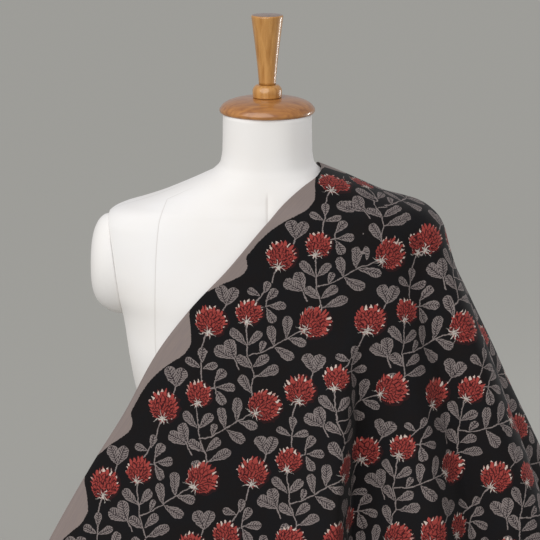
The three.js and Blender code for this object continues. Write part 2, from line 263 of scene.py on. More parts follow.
# %% One side of the drape at a height
def drape_side(z, front):
    """Points of the bare drape from its selvedge to the far +X side, without folds."""
    reach = float(column_at(DRAPE, REACH, z))
    depth = float(column_at(DRAPE, FRONT if front else BACK, z))
    turn = float(column_at(DRAPE, TURN, z))
    selvedge = FRONT_SELVEDGE if front else BACK_SELVEDGE
    edge = min(float(column_at(selvedge, 1, z)), reach - 0.001)
    power = float(column_at(DRAPE, POWER, z))
    x, out = np.zeros(0), np.zeros(0)
    if edge < 0:
        x = edge * (1 - np.arange(SIDE_STEPS) / SIDE_STEPS)
        out = depth - turn * (x / TURN_REACH) ** 2
    first = math.acos((edge / reach) ** (power / 2)) if edge > 0 else math.pi / 2
    angle = first * (1 - np.arange(SIDE_STEPS + 1) / SIDE_STEPS)
    x = np.concatenate([x, reach * np.cos(angle) ** (2 / power)])
    out = np.concatenate([out, depth * np.sin(angle) ** (2 / power)])
    if front:
        out = out + BUST_PROUD * bell(x - BUST_X, BUST_WIDE) * bell(z - BUST_Z, BUST_TALL)
        return np.stack([x, -out], axis=1)
    return np.stack([x, out], axis=1)


print("the front sheet's width at the hem, mm:", round(np.ptp(drape_side(0, True)[:, 0])))


# %% Points of the cloth at a height
def lengths_along(points):
    """The distance along a line of points, from its start to each point."""
    return np.concatenate([[0], np.cumsum(np.linalg.norm(np.diff(points, axis=0), axis=1))])


def point_at(side, lengths, distance):
    """The points of a side at these distances along it."""
    return np.stack([np.interp(distance, lengths, side[:, k]) for k in (0, 1)], axis=-1)


NUDGE = 1.5  # to each side of a point, to find the way the cloth runs there


def cloth_row(z, across):
    """The middle of the cloth at a height, at each place across."""
    sides = [drape_side(z, True), drape_side(z, False)]
    lengths = [lengths_along(side) for side in sides]
    whole = [length[-1] for length in lengths]
    height = np.zeros(len(across))
    along = np.where(across < 0, across * whole[0], across * whole[1])
    for at, start, full, depth, near, far in FOLDS:
        if z < start:
            grown = 1 - (1 - min(1, (start - z) / (start - full))) ** FOLD_EASE
            distance = along - (at * whole[0] if at < 0 else at * whole[1])
            height += depth * grown * bell(distance, np.where(distance < 0, near, far))
    points = np.zeros((len(across), 2))
    for k, here in enumerate([across < 0, across >= 0]):
        distance = (1 - np.abs(across[here])) * whole[k]
        tangent = point_at(sides[k], lengths[k], distance + NUDGE)
        tangent -= point_at(sides[k], lengths[k], distance - NUDGE)
        tangent *= (1, -1)[k] / np.linalg.norm(tangent, axis=1)[:, None]
        outwards = np.stack([tangent[:, 1], -tangent[:, 0]], axis=1)
        points[here] = point_at(sides[k], lengths[k], distance) + outwards * height[here][:, None]
    return np.column_stack([points, np.full(len(across), z)])


print("a row at the waist:", np.round(cloth_row(205, np.array([-1.0, 0.0, 1.0])), 1).tolist())


# %% Lay out the grid of the cloth
def spread(low, high, count, weight):
    """Values from low to high, closer together where the weight is larger."""
    samples = np.linspace(low, high, 4001)
    total = np.concatenate([[0], np.cumsum(weight((samples[1:] + samples[:-1]) / 2))])
    return np.interp(np.linspace(0, total[-1], count + 1), total, samples)


CLOTH_COLUMNS = 320
CLOTH_ROWS = 140
ROW_CROWDING = 1.3  # above 1, rows crowd towards the shoulder
FOLD_WIDTH = 0.03  # of the place across, where a fold draws columns to it
DOUBLING_DEPTH = 12  # mm: a fold this deep doubles the columns at its place


def fold_crowding(across):
    """Columns stand closer where a deep fold bends the cloth."""
    pull = sum(abs(depth) * bell(across - at, FOLD_WIDTH) for at, _, _, depth, _, _ in FOLDS)
    return 1 + pull / DOUBLING_DEPTH


across = spread(-1, 1, CLOTH_COLUMNS, fold_crowding)
drop = CLOTH_TOP - CLOTH_HEM
row_heights = CLOTH_TOP - drop * (np.arange(1, CLOTH_ROWS + 1) / CLOTH_ROWS) ** ROW_CROWDING
peak = np.array([DRAPE[0][REACH], 0, CLOTH_TOP])
peak_row = np.repeat(peak[None, None, :], len(across), axis=1)
middle = np.concatenate([peak_row, [cloth_row(z, across) for z in row_heights]])
print("cloth grid:", middle.shape[:2], "hem width, mm:", round(np.ptp(middle[-1, :, 0])))

# %% [markdown]
# ## The flat pattern
#
# A block print runs straight along the cloth and knows nothing of its folds, so the print is
# drawn on the flat cloth and then follows it into the drape. To find where each point of the
# drape lay when the cloth was flat, the grid is pressed flat as a net of springs. Each spring
# seeks its own length, the peak stays at the origin, and the front selvedge stays on one straight
# line, because a selvedge is woven straight.


# %% Press the drape flat
OVERSHOOT = 1.6  # each spring moves its ends further than it needs, which settles them sooner
TINY = 1e-9  # mm: the least length that anything is divided by


def lay_flat(points, rounds):
    """Flat places, in mm, of a grid of points that fans out from its first row."""
    rows, columns = points.shape[:2]
    radius = np.concatenate([[np.zeros(columns)], np.cumsum(
        np.linalg.norm(np.diff(points, axis=0), axis=2), axis=0)])
    girth = np.linalg.norm(np.diff(points, axis=1), axis=2)
    turned = (girth[rows // 2 :] / (radius[rows // 2 :, 1:] + TINY)).mean(axis=0)
    angle = np.concatenate([[0], np.cumsum(turned)]) - math.pi / 2
    flat = np.stack([radius * np.cos(angle), radius * np.sin(angle)], axis=2)
    pairs = []
    for dr, dc in [(0, 1), (1, 0), (1, 1), (1, -1)]:
        a = (slice(0, rows - dr), slice(max(0, -dc), columns - max(0, dc)))
        b = (slice(dr, rows), slice(max(0, dc), columns - max(0, -dc)))
        pairs.append((a, b, np.linalg.norm(points[b] - points[a], axis=2)))
    for _ in range(rounds):
        push = np.zeros_like(flat)
        count = np.zeros((rows, columns, 1))
        for a, b, rest in pairs:
            gap = flat[b] - flat[a]
            length = np.linalg.norm(gap, axis=2)
            move = gap * (0.5 * (length - rest) / np.maximum(length, TINY))[:, :, None]
            push[a] += move
            push[b] -= move
            count[a] += 1
            count[b] += 1
        flat += push * OVERSHOOT / count
        flat[0] = 0
        flat[:, 0, 0] = 0
    a, b, rest = pairs[1]
    return flat, np.linalg.norm(flat[b] - flat[a], axis=2) / rest


PRESSED_ROWS, PRESSED_COLUMNS = 36, 65  # of the grid's own, enough to find the pattern
PRESS_ROUNDS = 2500
coarse_rows = np.unique(np.linspace(0, CLOTH_ROWS, PRESSED_ROWS).round().astype(int))
coarse_columns = np.unique(np.linspace(0, CLOTH_COLUMNS, PRESSED_COLUMNS).round().astype(int))
coarse_flat, stretch = lay_flat(middle[np.ix_(coarse_rows, coarse_columns)], PRESS_ROUNDS)
print("stretch down the columns, mean:", round(stretch.mean().item(), 3))
print("least and most:", round(stretch.min().item(), 2), round(stretch.max().item(), 2))


# %% Refine the flat pattern
def refine(values, places, count):
    """Fills in a coarse grid along its first direction."""
    fine = np.arange(count)
    return np.stack([curve_through(places, column, fine) for column in values.T], axis=1)


flat = np.zeros(middle.shape[:2] + (2,))
for k in (0, 1):
    down = refine(coarse_flat[:, :, k], coarse_rows, CLOTH_ROWS + 1)
    flat[:, :, k] = refine(down.T, coarse_columns, CLOTH_COLUMNS + 1).T

# the first number of a flat place is its distance from the front selvedge, and the second is
# its distance along it, 0 at the peak and rising towards the back
print("front selvedge, mm:", round(-flat[-1, 0, 1]))
print("widest from the selvedge, mm:", round(flat[:, :, 0].max()))

# %% [markdown]
# ## The cloth as a thin solid
#
# Printing cotton is under half a millimetre thick, but it has two faces that look different: the
# printed one, and the reverse, where the dye has only partly come through. So the sheet is made
# as a solid, a little thicker than the real one so that its edge shows, with the printed face
# outside and the reverse inside, joined by a narrow rim.

# %% Build the cloth
CLOTH_THICKNESS = 0.6


def grid_normals(points):
    """The normal at each point of a grid, pointing out of the drape."""
    down = np.gradient(points, axis=0)
    sideways = np.gradient(points, axis=1)
    normals = np.cross(down, sideways)
    normals[0] = normals[1].mean(axis=0)
    return normals / np.linalg.norm(normals, axis=2)[:, :, None]


normals = grid_normals(middle)
layers = []
for side in (1, -1):
    layer = middle + normals * side * CLOTH_THICKNESS / 2
    layer[-1, :, 2] = CLOTH_HEM  # the hem is cut level
    layers.append(np.concatenate([layer[:1, 0], layer[1:].reshape(-1, 3)]))
width = len(across)
count = len(layers[0])


def grid_index(row, column):
    """The number of a grid point. The whole first row is the peak, number 0."""
    return 0 if row == 0 else 1 + (row - 1) * width + column


outer = [(0, grid_index(1, c), grid_index(1, c + 1)) for c in range(width - 1)]
for r in range(1, CLOTH_ROWS):
    for c in range(width - 1):
        corners = (r, c), (r + 1, c), (r + 1, c + 1), (r, c + 1)
        outer.append(tuple(grid_index(*corner) for corner in corners))
inner = [tuple(count + i for i in reversed(face)) for face in outer]
edge = [grid_index(r, 0) for r in range(CLOTH_ROWS + 1)]
edge += [grid_index(CLOTH_ROWS, c) for c in range(1, width)]
edge += [grid_index(r, width - 1) for r in range(CLOTH_ROWS - 1, 0, -1)]
rim = [(a, count + a, count + b, b) for a, b in zip(edge, edge[1:] + edge[:1])]
cloth_mesh = bpy.data.meshes.new("cloth")
cloth_mesh.from_pydata(np.concatenate(layers) * MM, [], outer + inner + rim)
cloth = bpy.data.objects.new("printed_cloth", cloth_mesh)
bpy.context.scene.collection.objects.link(cloth)
cloth_mesh.shade_smooth()
print("cloth faces:", len(cloth_mesh.polygons), "valid:", not cloth_mesh.validate())

# %% [markdown]
# ## The block print
#
# A repeat has three round flower heads on stalks, with pairs and threes of leaves between them,
# and a wooden block prints two rows of it. The chart of the repeat gives the place and size of
# each flower, stalk and leaf in millimetres. The shader draws each motif from formulas, so that
# its edge stays sharp at any distance, and the mesh only carries where the nearest motifs are.

# %% The chart of one repeat, upright as the wearer sees it
REPEAT_DOWN = 112.5  # to the next row along the selvedge
REPEAT_ACROSS = 126.3  # to the next block away from the selvedge
FIRST_BLOCK = (25, -37)  # from the selvedge, and along it from the peak
SECOND_ROW_SHIFT = 10.5  # the second row of a block lies further in

# x, y, tilt to the right in degrees, radius
FLOWERS = [
    (0, 0, 10, 17.5),
    (42.5, 13, 12, 15),
    (117, 0, 50, 18.5),
]

STALKS = [
    [(-3, -14), (-7, -22), (-10, -33)],
    [(39, 0), (40, -27), (40, -39), (45, -54), (47, -65), (43, -74), (44, -88)],
    [(40, -39), (54, -36), (70, -28), (85, -19), (107, -7)],
    [(47, -65), (51, -63)],
    [(56, 18), (61, 19), (62, 27)],
    [(61, 19), (65, 20)],
    [(61, 19), (63, 15)],
    [(14, 13), (17, 20)],
    [(30, -56), (25, -44)],
]

# x, y of the leaf's foot, the way it points in degrees to the right of up, length, width
LEAVES = [
    (39, -27, -41, 25, 11.5),
    (41, -27, 43, 22, 11),
    (44, -54, -48, 21, 12),
    (46, -53, 52, 22, 11.5),
    (50, -64, 67, 27, 12.5),
    (43, -84, -29, 24, 13),
    (54, -35, 21, 14, 8.5),
    (70, -28, -9, 25, 11.5),
    (71, -29, 125, 25, 13),
    (84, -19, 4, 27, 12.5),
    (86, -19, 109, 22, 11.5),
    (62, 26, 37, 18, 11.5),
    (64, 20, 90, 20, 11),
    (62, 17, 154, 19, 11.5),
    (17.5, 19, -21, 24, 15),
    (17.5, 19, 25, 23, 15),
    (25.5, -44, -59, 25, 15),
    (25.5, -44, -14, 24, 15),
]

# the sprig that hangs from the first head, in the first and in the second row of a block
SPRIG_STALKS = [[(-11, -47), (-12, -56), (-13, -68)]], [[(-18, -44), (-22, -50), (-27, -56)]]
SPRIG_LEAVES = [
    [(-11, -49, 6, 17, 10), (-13, -55, -59, 18, 9.5), (-11, -56, 74, 19, 9.5)],
    [(-18, -46, 18, 15, 9.5), (-22, -49, -65, 17, 9)],
]
print(len(FLOWERS), "flowers and", len(LEAVES) + len(SPRIG_LEAVES[0]), "leaves in a repeat")

# %% [markdown]
# ## The plain border
#
# Along the selvedge the blocks stop short and leave the cloth's own grey. Each row ends in a
# lobe, and every second one begins with a small step, where a block overlaps the one before.

# %% The border
BORDER_START = -44  # along the selvedge, from the peak
BORDER_PERIOD = 2 * REPEAT_DOWN

# distance down the selvedge, width of the plain cloth
BORDER = [
    (0, 0),
    (5, 3),
    (11, 9.5),
    (17, 15),
    (23, 20),
    (31, 25),
    (42, 25.5),
    (58, 20),
    (76, 13.5),
    (98, 8),
    (115, 6.5),
    (131, 6.5),
    (137, 8.5),
    (139, 13.5),  # the step
    (150, 17),
    (163, 13),
    (176, 7),
    (190, 2.5),
    (204, -2),
    (218, -2),
    (BORDER_PERIOD, 0),
]


def border_width(along):
    """The width of the plain border at a distance along the selvedge."""
    place = np.mod(BORDER_START - along, BORDER_PERIOD)
    return curve_through([b[0] for b in BORDER], [b[1] for b in BORDER], place)


print("border at 30 and 90 mm below its start:",
      border_width(BORDER_START - np.array([30, 90])).round(1))


# %% How far a flat place lies inside the print
def inside_print(places):
    """How far flat places lie inside the printed field, from either border."""
    front_gap = places[..., 0] - border_width(places[..., 1])
    from_back = places[..., 0] * back_direction[1] - places[..., 1] * back_direction[0]
    back_gap = from_back - border_width(places @ back_direction)
    return np.where(places[..., 1] > 0, np.minimum(front_gap, back_gap), front_gap)


back_direction = flat[-1, -1] / np.linalg.norm(flat[-1, -1])
one_layer = np.concatenate([flat[:1, 0], flat[1:].reshape(-1, 2)])
flat_points = np.concatenate([one_layer, one_layer])
print("back selvedge leans, degrees:", round(math.degrees(math.atan2(*back_direction)), 1))

# %% Turn flat places upright
SELVEDGE_LEAN = math.radians(37.1)  # of the upper front selvedge, to the right of upright
lean_sine, lean_cosine = math.sin(SELVEDGE_LEAN), math.cos(SELVEDGE_LEAN)
turn_upright = np.array([[lean_cosine, lean_sine], [-lean_sine, lean_cosine]])
upright = flat_points @ turn_upright.T
print("the flat cloth, seen upright, is wide and tall, mm:", np.ptp(upright, axis=0).round())


# %% Print every block on the flat cloth
HAND_SLIP = 0.7  # mm, and degrees, that a block lands off its place
REPEAT_FALL = 3  # each repeat across lies this much further down the selvedge
MARGINS = {"flower": 0.9, "stalk": 2, "leaf_foot": 2, "leaf_tip": -1}  # radii for a flower, or mm


def clear(place, margin):
    """Whether an upright place lies inside the printed field by a margin."""
    return inside_print(place @ turn_upright) >= margin


chance = np.random.default_rng(11)
farthest = np.linalg.norm(flat_points, axis=1).max() + 220  # no repeat past it meets the cloth
first_block = turn_upright @ FIRST_BLOCK
step_down = turn_upright @ (0, -REPEAT_DOWN)
step_across = turn_upright @ (REPEAT_ACROSS, -REPEAT_FALL)
row_shift = turn_upright @ (SECOND_ROW_SHIFT, 0)
flowers, stalks, leaves = [], [], []
for down in range(-9, 12):
    for sideways in range(-2, 12):
        row = down % 2  # first or second row of a block
        origin = first_block + down * step_down + sideways * step_across + row * row_shift
        origin = origin + chance.normal(0, HAND_SLIP, 2)
        turn = math.radians(chance.normal(0, HAND_SLIP))
        if np.linalg.norm(origin) > farthest:
            continue
        spin = np.array([[math.cos(turn), -math.sin(turn)], [math.sin(turn), math.cos(turn)]])
        for x, y, tilt, radius in FLOWERS:
            place = origin + spin @ (x, y)
            if clear(place, radius * MARGINS["flower"]):
                flowers.append((*place, math.radians(tilt) - turn, radius))
        for line in STALKS + SPRIG_STALKS[row]:
            for start, end in zip(line, line[1:]):
                a, b = origin + spin @ start, origin + spin @ end
                if clear(a, MARGINS["stalk"]) and clear(b, MARGINS["stalk"]):
                    stalks.append((*a, *b))
        for x, y, heading, length, leaf_width in LEAVES + SPRIG_LEAVES[row]:
            foot = origin + spin @ (x, y)
            heading = math.radians(heading) - turn
            tip = foot + length * np.array([math.sin(heading), math.cos(heading)])
            if clear(foot, MARGINS["leaf_foot"]) and clear(tip, MARGINS["leaf_tip"]):
                leaves.append((*foot, heading, length, leaf_width))
flowers, stalks, leaves = (np.array(found) for found in (flowers, stalks, leaves))
print("on the whole cloth:", len(flowers), "flowers,", len(leaves), "leaves,", len(stalks), "stalks")


# %% Motif coordinates
def flower_places(points, flower):
    """Places in a flower's own frame, in shares of its radius, and the radius."""
    x, y, tilt, radius = np.moveaxis(flower, -1, 0)
    dx, dy = points[..., 0] - x, points[..., 1] - y
    right = (dx * np.cos(tilt) - dy * np.sin(tilt)) / radius
    up = (dx * np.sin(tilt) + dy * np.cos(tilt)) / radius
    return np.stack([right, up, np.broadcast_to(radius, right.shape)], axis=-1)


def leaf_places(points, leaf):
    """Places along a leaf in shares of its length, across in shares of half its width."""
    x, y, heading, length, leaf_width = np.moveaxis(leaf, -1, 0)
    dx, dy = points[..., 0] - x, points[..., 1] - y
    along = (dx * np.sin(heading) + dy * np.cos(heading)) / length
    aside = (dx * np.cos(heading) - dy * np.sin(heading)) / (leaf_width / 2)
    return np.stack([along, aside, np.broadcast_to(length, along.shape)], axis=-1)


def stalk_places(points, stalk):
    """Places along a stalk from its middle and across it, in mm, and half its length."""
    ax, ay, bx, by = np.moveaxis(stalk, -1, 0)
    length = np.hypot(bx - ax, by - ay)
    ux, uy = (bx - ax) / length, (by - ay) / length
    dx, dy = points[..., 0] - (ax + bx) / 2, points[..., 1] - (ay + by) / 2
    along = dx * ux + dy * uy
    aside = dx * uy - dy * ux
    return np.stack([along, aside, np.broadcast_to(length / 2, along.shape)], axis=-1)


def flower_farness(places):
    """How far a place is from a flower, 1 at its outline."""
    return np.hypot(places[..., 0], places[..., 1])


def leaf_farness(places):
    """How far a place is from a leaf, about 1 at its outline."""
    return np.hypot((places[..., 0] - 0.55) * 2, places[..., 1])


def stalk_farness(places):
    """How far a place is from a stalk, in mm."""
    return np.hypot(np.maximum(np.abs(places[..., 0]) - places[..., 2], 0), places[..., 1])


print("the heads are", round(2 * FLOWERS[0][3]), "mm wide")

# %% [markdown]
# Each face of the mesh now looks up its nearest flower, its three nearest leaves and its two
# nearest stalks, and its corners note their places in those motifs' own frames. Such a place
# changes evenly over a face, so the shader reads it without any error between the corners.

# %% Carry the nearest motifs on the mesh
corner_vertex = np.zeros(len(cloth_mesh.loops), int)
cloth_mesh.loops.foreach_get("vertex_index", corner_vertex)
face_size = np.zeros(len(cloth_mesh.polygons), int)
cloth_mesh.polygons.foreach_get("loop_total", face_size)
corner_face = np.repeat(np.arange(len(face_size)), face_size)
corner_place = upright[corner_vertex]
face_place = np.zeros((len(face_size), 2))
np.add.at(face_place, corner_face, corner_place)
face_place /= face_size[:, None]


CELL = 90  # mm: the cloth is searched in squares, each with the motifs near it


def nearest_motifs(motifs, places_of, farness_of, how_many):
    """For each face, the numbers of its nearest motifs, nearest first."""
    found = np.zeros((len(face_place), how_many), int)
    cell = np.floor(face_place / CELL).astype(int)
    for key in np.unique(cell, axis=0):
        faces = np.nonzero((cell == key).all(axis=1))[0]
        from_cell = np.linalg.norm(motifs[:, :2] - (key + 0.5) * CELL, axis=1)
        near = np.nonzero(from_cell < 1.5 * CELL)[0]
        if len(near) < how_many:
            near = np.argsort(from_cell)[:how_many]
        farness = farness_of(places_of(face_place[faces][:, None], motifs[near][None]))
        order = np.argsort(farness, axis=1)[:, :how_many]
        found[faces] = near[order]
    return found


def carry(name, values):
    """Notes a vector on each corner of the cloth's faces."""
    attribute = cloth_mesh.attributes.new(name, "FLOAT_VECTOR", "CORNER")
    attribute.data.foreach_set("vector", values.astype(np.float32).ravel())


for names, motifs, places_of, farness_of in (
    (["flower"], flowers, flower_places, flower_farness),
    (["leaf_first", "leaf_second", "leaf_third"], leaves, leaf_places, leaf_farness),
    (["stalk_first", "stalk_second"], stalks, stalk_places, stalk_farness),
):
    found = nearest_motifs(motifs, places_of, farness_of, len(names))
    for k, name in enumerate(names):
        carry(name, places_of(corner_place, motifs[found[corner_face, k]]))
carry("cut", np.column_stack([flat_points, inside_print(flat_points)])[corner_vertex])
print("attributes on the cloth:", [a.name for a in cloth_mesh.attributes])

# %% [markdown]
# ## Formulas for the motifs
#
# A flower head is a cone of overlapping pointed petals round a foot. Counted outwards from the
# foot they fall into rings, and each ring is turned a little against the one inside it. The
# outer ring has a patchy pale fringe, and a spiky calyx sits on the foot. A leaf is a drop shape
# with a midrib and slanting veins, and a stalk is a line of one width. Each formula is a short
# table of sums: a row names its result, the kind of sum and what goes into it. A loop turns each
# row into one Math node, in groups that both faces of the cloth share.

# %% Tables of sums
LEAF_SUMS = [
    ("bent", "POWER", "along", 1.7),
    ("rest", "SUBTRACT", 1.0, "bent"),
    ("product", "MULTIPLY", "bent", "rest"),
    ("fourfold", "MULTIPLY", "product", 4.0),
    ("bow", "MAXIMUM", "fourfold", 0.0),
    ("arch", "SQRT", "bow"),
    ("taper", "MULTIPLY_ADD", "along", 0.28, 0.72),
    ("outline", "MULTIPLY", "arch", "taper"),
    ("aside", "ABSOLUTE", "across"),
    ("over", "SUBTRACT", "aside", "outline"),
    ("half_width", "MULTIPLY", "length", 0.27),
    ("beyond", "MULTIPLY", "over", "half_width"),  # mm outside the outline
    ("ragged", "ADD", "beyond", "wobble"),
    ("within", "LESS_THAN", "ragged", 0.0),
    ("after_foot", "GREATER_THAN", "along", 0.0),
    ("before_tip", "LESS_THAN", "along", 1.0),
    ("between", "MULTIPLY", "after_foot", "before_tip"),
    ("shape", "MULTIPLY", "within", "between"),
    ("from_rib", "MULTIPLY", "aside", "half_width"),
    ("up", "MULTIPLY", "along", "length"),
    ("slant", "MULTIPLY_ADD", "from_rib", -0.9, "up"),
    ("bent_slant", "MULTIPLY_ADD", "wobble", 1.8, "slant"),
    ("counted", "DIVIDE", "bent_slant", 2.9),
    ("saw", "FRACT", "counted"),
    ("stripe", "LESS_THAN", "saw", 0.4),
    ("field", "LESS_THAN", "ragged", -0.85),
    ("rib", "LESS_THAN", "from_rib", 0.4),
    ("stripe_or_rib", "MAXIMUM", "stripe", "rib"),
    ("vein", "MULTIPLY", "stripe_or_rib", "field"),
    ("dark", "MULTIPLY", "vein", "shape"),
]
STALK_SUMS = [
    ("whole", "ABSOLUTE", "along"),
    ("past", "SUBTRACT", "whole", "half"),
    ("end", "MAXIMUM", "past", 0.0),
    ("end_squared", "MULTIPLY", "end", "end"),
    ("squared", "MULTIPLY_ADD", "across", "across", "end_squared"),
    ("far", "SQRT", "squared"),
    ("ragged", "ADD", "far", "wobble"),
    ("shape", "LESS_THAN", "ragged", 0.65),
]
FLOWER_SUMS = [
    ("shift", "DIVIDE", "wobble", "radius"),
    ("carved_up", "MULTIPLY_ADD", "shift", 1.1, "up"),
    ("carved_right", "MULTIPLY_ADD", "shift", -0.8, "right"),
    ("foot_up", "ADD", "carved_up", 0.75),
    ("angle", "ARCTAN2", "carved_right", "foot_up"),
    ("right_squared", "MULTIPLY", "carved_right", "carved_right"),
    ("foot_squared", "MULTIPLY_ADD", "foot_up", "foot_up", "right_squared"),
    ("from_foot", "SQRT", "foot_squared"),
    ("sine", "SINE", "angle"),
    ("sine_squared", "MULTIPLY", "sine", "sine"),
    ("under", "MULTIPLY_ADD", "sine_squared", -0.5625, 1.0),
    ("chord", "SQRT", "under"),
    ("cosine", "COSINE", "angle"),
    ("reach", "MULTIPLY_ADD", "cosine", 0.75, "chord"),
    ("share", "DIVIDE", "from_foot", "reach"),
    ("rings", "MULTIPLY", "share", 3.8),
    ("ring", "FLOOR", "rings"),
    ("in_ring", "SUBTRACT", "rings", "ring"),
    ("ring_middle", "ADD", "ring", 0.6),
    ("narrow", "DIVIDE", 10.6, "radius"),
    ("petal_angle", "DIVIDE", "narrow", "ring_middle"),
    ("petals", "DIVIDE", "angle", "petal_angle"),
    ("shifted", "MULTIPLY_ADD", "ring", 0.37, "petals"),
    ("petal_number", "FLOOR", "shifted"),
    ("in_petal", "FRACT", "shifted"),
    ("centred", "SUBTRACT", "in_petal", 0.5),
    ("from_middle", "ABSOLUTE", "centred"),
    ("point", "POWER", "in_ring", 2.1),
    ("half_petal", "MULTIPLY_ADD", "point", -0.5, 0.5),
    ("to_line", "SUBTRACT", "from_middle", "half_petal"),
    ("line_off", "ABSOLUTE", "to_line"),
    ("line_angle", "MULTIPLY", "line_off", "petal_angle"),
    ("line_share", "MULTIPLY", "line_angle", "from_foot"),
    ("line_mm", "MULTIPLY", "line_share", "radius"),
    ("head", "LESS_THAN", "rings", 3.3),
    ("thin_line", "LESS_THAN", "line_mm", 0.54),
    ("foot_of_petal", "LESS_THAN", "in_ring", 0.1),
    ("line", "MAXIMUM", "thin_line", "foot_of_petal"),
    ("outline", "MULTIPLY", "line", "head"),
    ("petal_turn", "MULTIPLY", "petal_number", 2.4),
    ("petal_luck", "SINE", "petal_turn"),  # each petal of the outer ring differs
    ("outer_ring", "COMPARE", "ring", 3.0, 0.5),
    ("petal_slack", "MULTIPLY_ADD", "petal_luck", 0.09, -0.1),
    ("in_tip", "LESS_THAN", "to_line", "petal_slack"),
    ("tips", "MULTIPLY", "outer_ring", "in_tip"),
    ("upper_left", "MULTIPLY_ADD", "right", -0.75, "up"),
    ("pale_from", "MULTIPLY_ADD", "upper_left", -0.2, 0.54),
    ("pale_start", "MULTIPLY_ADD", "petal_luck", 0.45, "pale_from"),
    ("pale_part", "GREATER_THAN", "in_ring", "pale_start"),
    ("pale", "MULTIPLY", "tips", "pale_part"),
    ("bleed_right", "SUBTRACT", "right", 0.1),
    ("bleed_up", "ADD", "up", 0.04),
    ("bleed_squared", "MULTIPLY", "bleed_right", "bleed_right"),
    ("bleed_whole", "MULTIPLY_ADD", "bleed_up", "bleed_up", "bleed_squared"),
    ("bleed", "LESS_THAN", "bleed_whole", 1.12),
    ("calyx_up", "ADD", "carved_up", 0.84),
    ("calyx_angle", "ARCTAN2", "carved_right", "calyx_up"),
    ("calyx_squared", "MULTIPLY_ADD", "calyx_up", "calyx_up", "right_squared"),
    ("from_calyx", "SQRT", "calyx_squared"),
    ("spikes", "MULTIPLY", "calyx_angle", 8 / (2 * math.pi)),
    ("spike_number", "FLOOR", "spikes"),
    ("spike_turn", "MULTIPLY", "spike_number", 2.9),
    ("spike_luck", "SINE", "spike_turn"),  # long and short spikes
    ("in_spike", "FRACT", "spikes"),
    ("spike_centred", "SUBTRACT", "in_spike", 0.5),
    ("spike_off", "ABSOLUTE", "spike_centred"),
    ("spike_angle", "MULTIPLY", "spike_off", 2 * math.pi / 8),
    ("spike_share", "MULTIPLY", "spike_angle", "from_calyx"),
    ("spike_mm", "MULTIPLY", "spike_share", "radius"),
    ("spike_pitch", "MULTIPLY_ADD", "spike_luck", 0.8, 2.1),
    ("spike_used", "MULTIPLY", "from_calyx", "spike_pitch"),
    ("spike_left", "SUBTRACT", 1.0, "spike_used"),
    ("spike_room", "MAXIMUM", "spike_left", 0.0),
    ("spike_bow", "POWER", "spike_room", 0.7),
    ("spike_half", "MULTIPLY", "spike_bow", 0.85),
    ("calyx", "LESS_THAN", "spike_mm", "spike_half"),
]
print("sums:", len(LEAF_SUMS), len(STALK_SUMS), len(FLOWER_SUMS))

# %% Turn the tables into node groups
motif_groups = {}
for name, given, wanted, sums in (
    ("leaf", ["along", "across", "length", "wobble"], ["shape", "dark"], LEAF_SUMS),
    ("stalk", ["along", "across", "half", "wobble"], ["shape"], STALK_SUMS),
    ("flower", ["right", "up", "radius", "wobble"],
     ["head", "outline", "tips", "pale", "bleed", "calyx"], FLOWER_SUMS),
):
    tree = bpy.data.node_groups.new(f"{name}_motif", "ShaderNodeTree")
    for socket_name in given:
        tree.interface.new_socket(socket_name, in_out="INPUT", socket_type="NodeSocketFloat")
    for socket_name in wanted:
        tree.interface.new_socket(socket_name, in_out="OUTPUT", socket_type="NodeSocketFloat")
    entrance = add(tree, "NodeGroupInput")
    known = {socket_name: entrance.outputs[socket_name] for socket_name in given}
    for result, operation, *operands in sums:
        inputs = {k: known.get(value, value) for k, value in enumerate(operands)}
        node = add(tree, "ShaderNodeMath", {"operation": operation, "label": result}, inputs)
        known[result] = node.outputs[0]
    add(tree, "NodeGroupOutput", None, {socket_name: known[socket_name] for socket_name in wanted})
    motif_groups[name] = tree
print("groups:", {name: len(tree.nodes) for name, tree in motif_groups.items()})

# %% [markdown]
# ## Printed cotton
#
# Block-printing dye sinks into the yarn, so print and plain cloth share one matt surface. The
# black ground has faint blue and brown clouds where it lay unevenly, and the reds are mottled
# and have bled a little past their outlines. The reverse shows the same print through the
# cloth, greyer and softer. Cotton's index of refraction is about 1.53, and its fuzz gives it a
# roughness near 0.9 and a little sheen. A slow noise sways each motif, as a knife cuts wood.

# %% The print as one node group
BLACK = "#0b090a"
BLACK_BLUE = "#0f1015"
BLACK_BROWN = "#140d0c"
GREY = "#7f7471"
GREY_WARM = "#877a74"
LEAF_GREY = "#7f7572"
VEIN = "#2a2326"
RED = "#983e38"
RED_DEEP = "#84312c"
MAROON = "#3d1113"
PALE = "#c4b3a8"
CALYX = "#bdb7ae"
BLEED = "#2e1012"

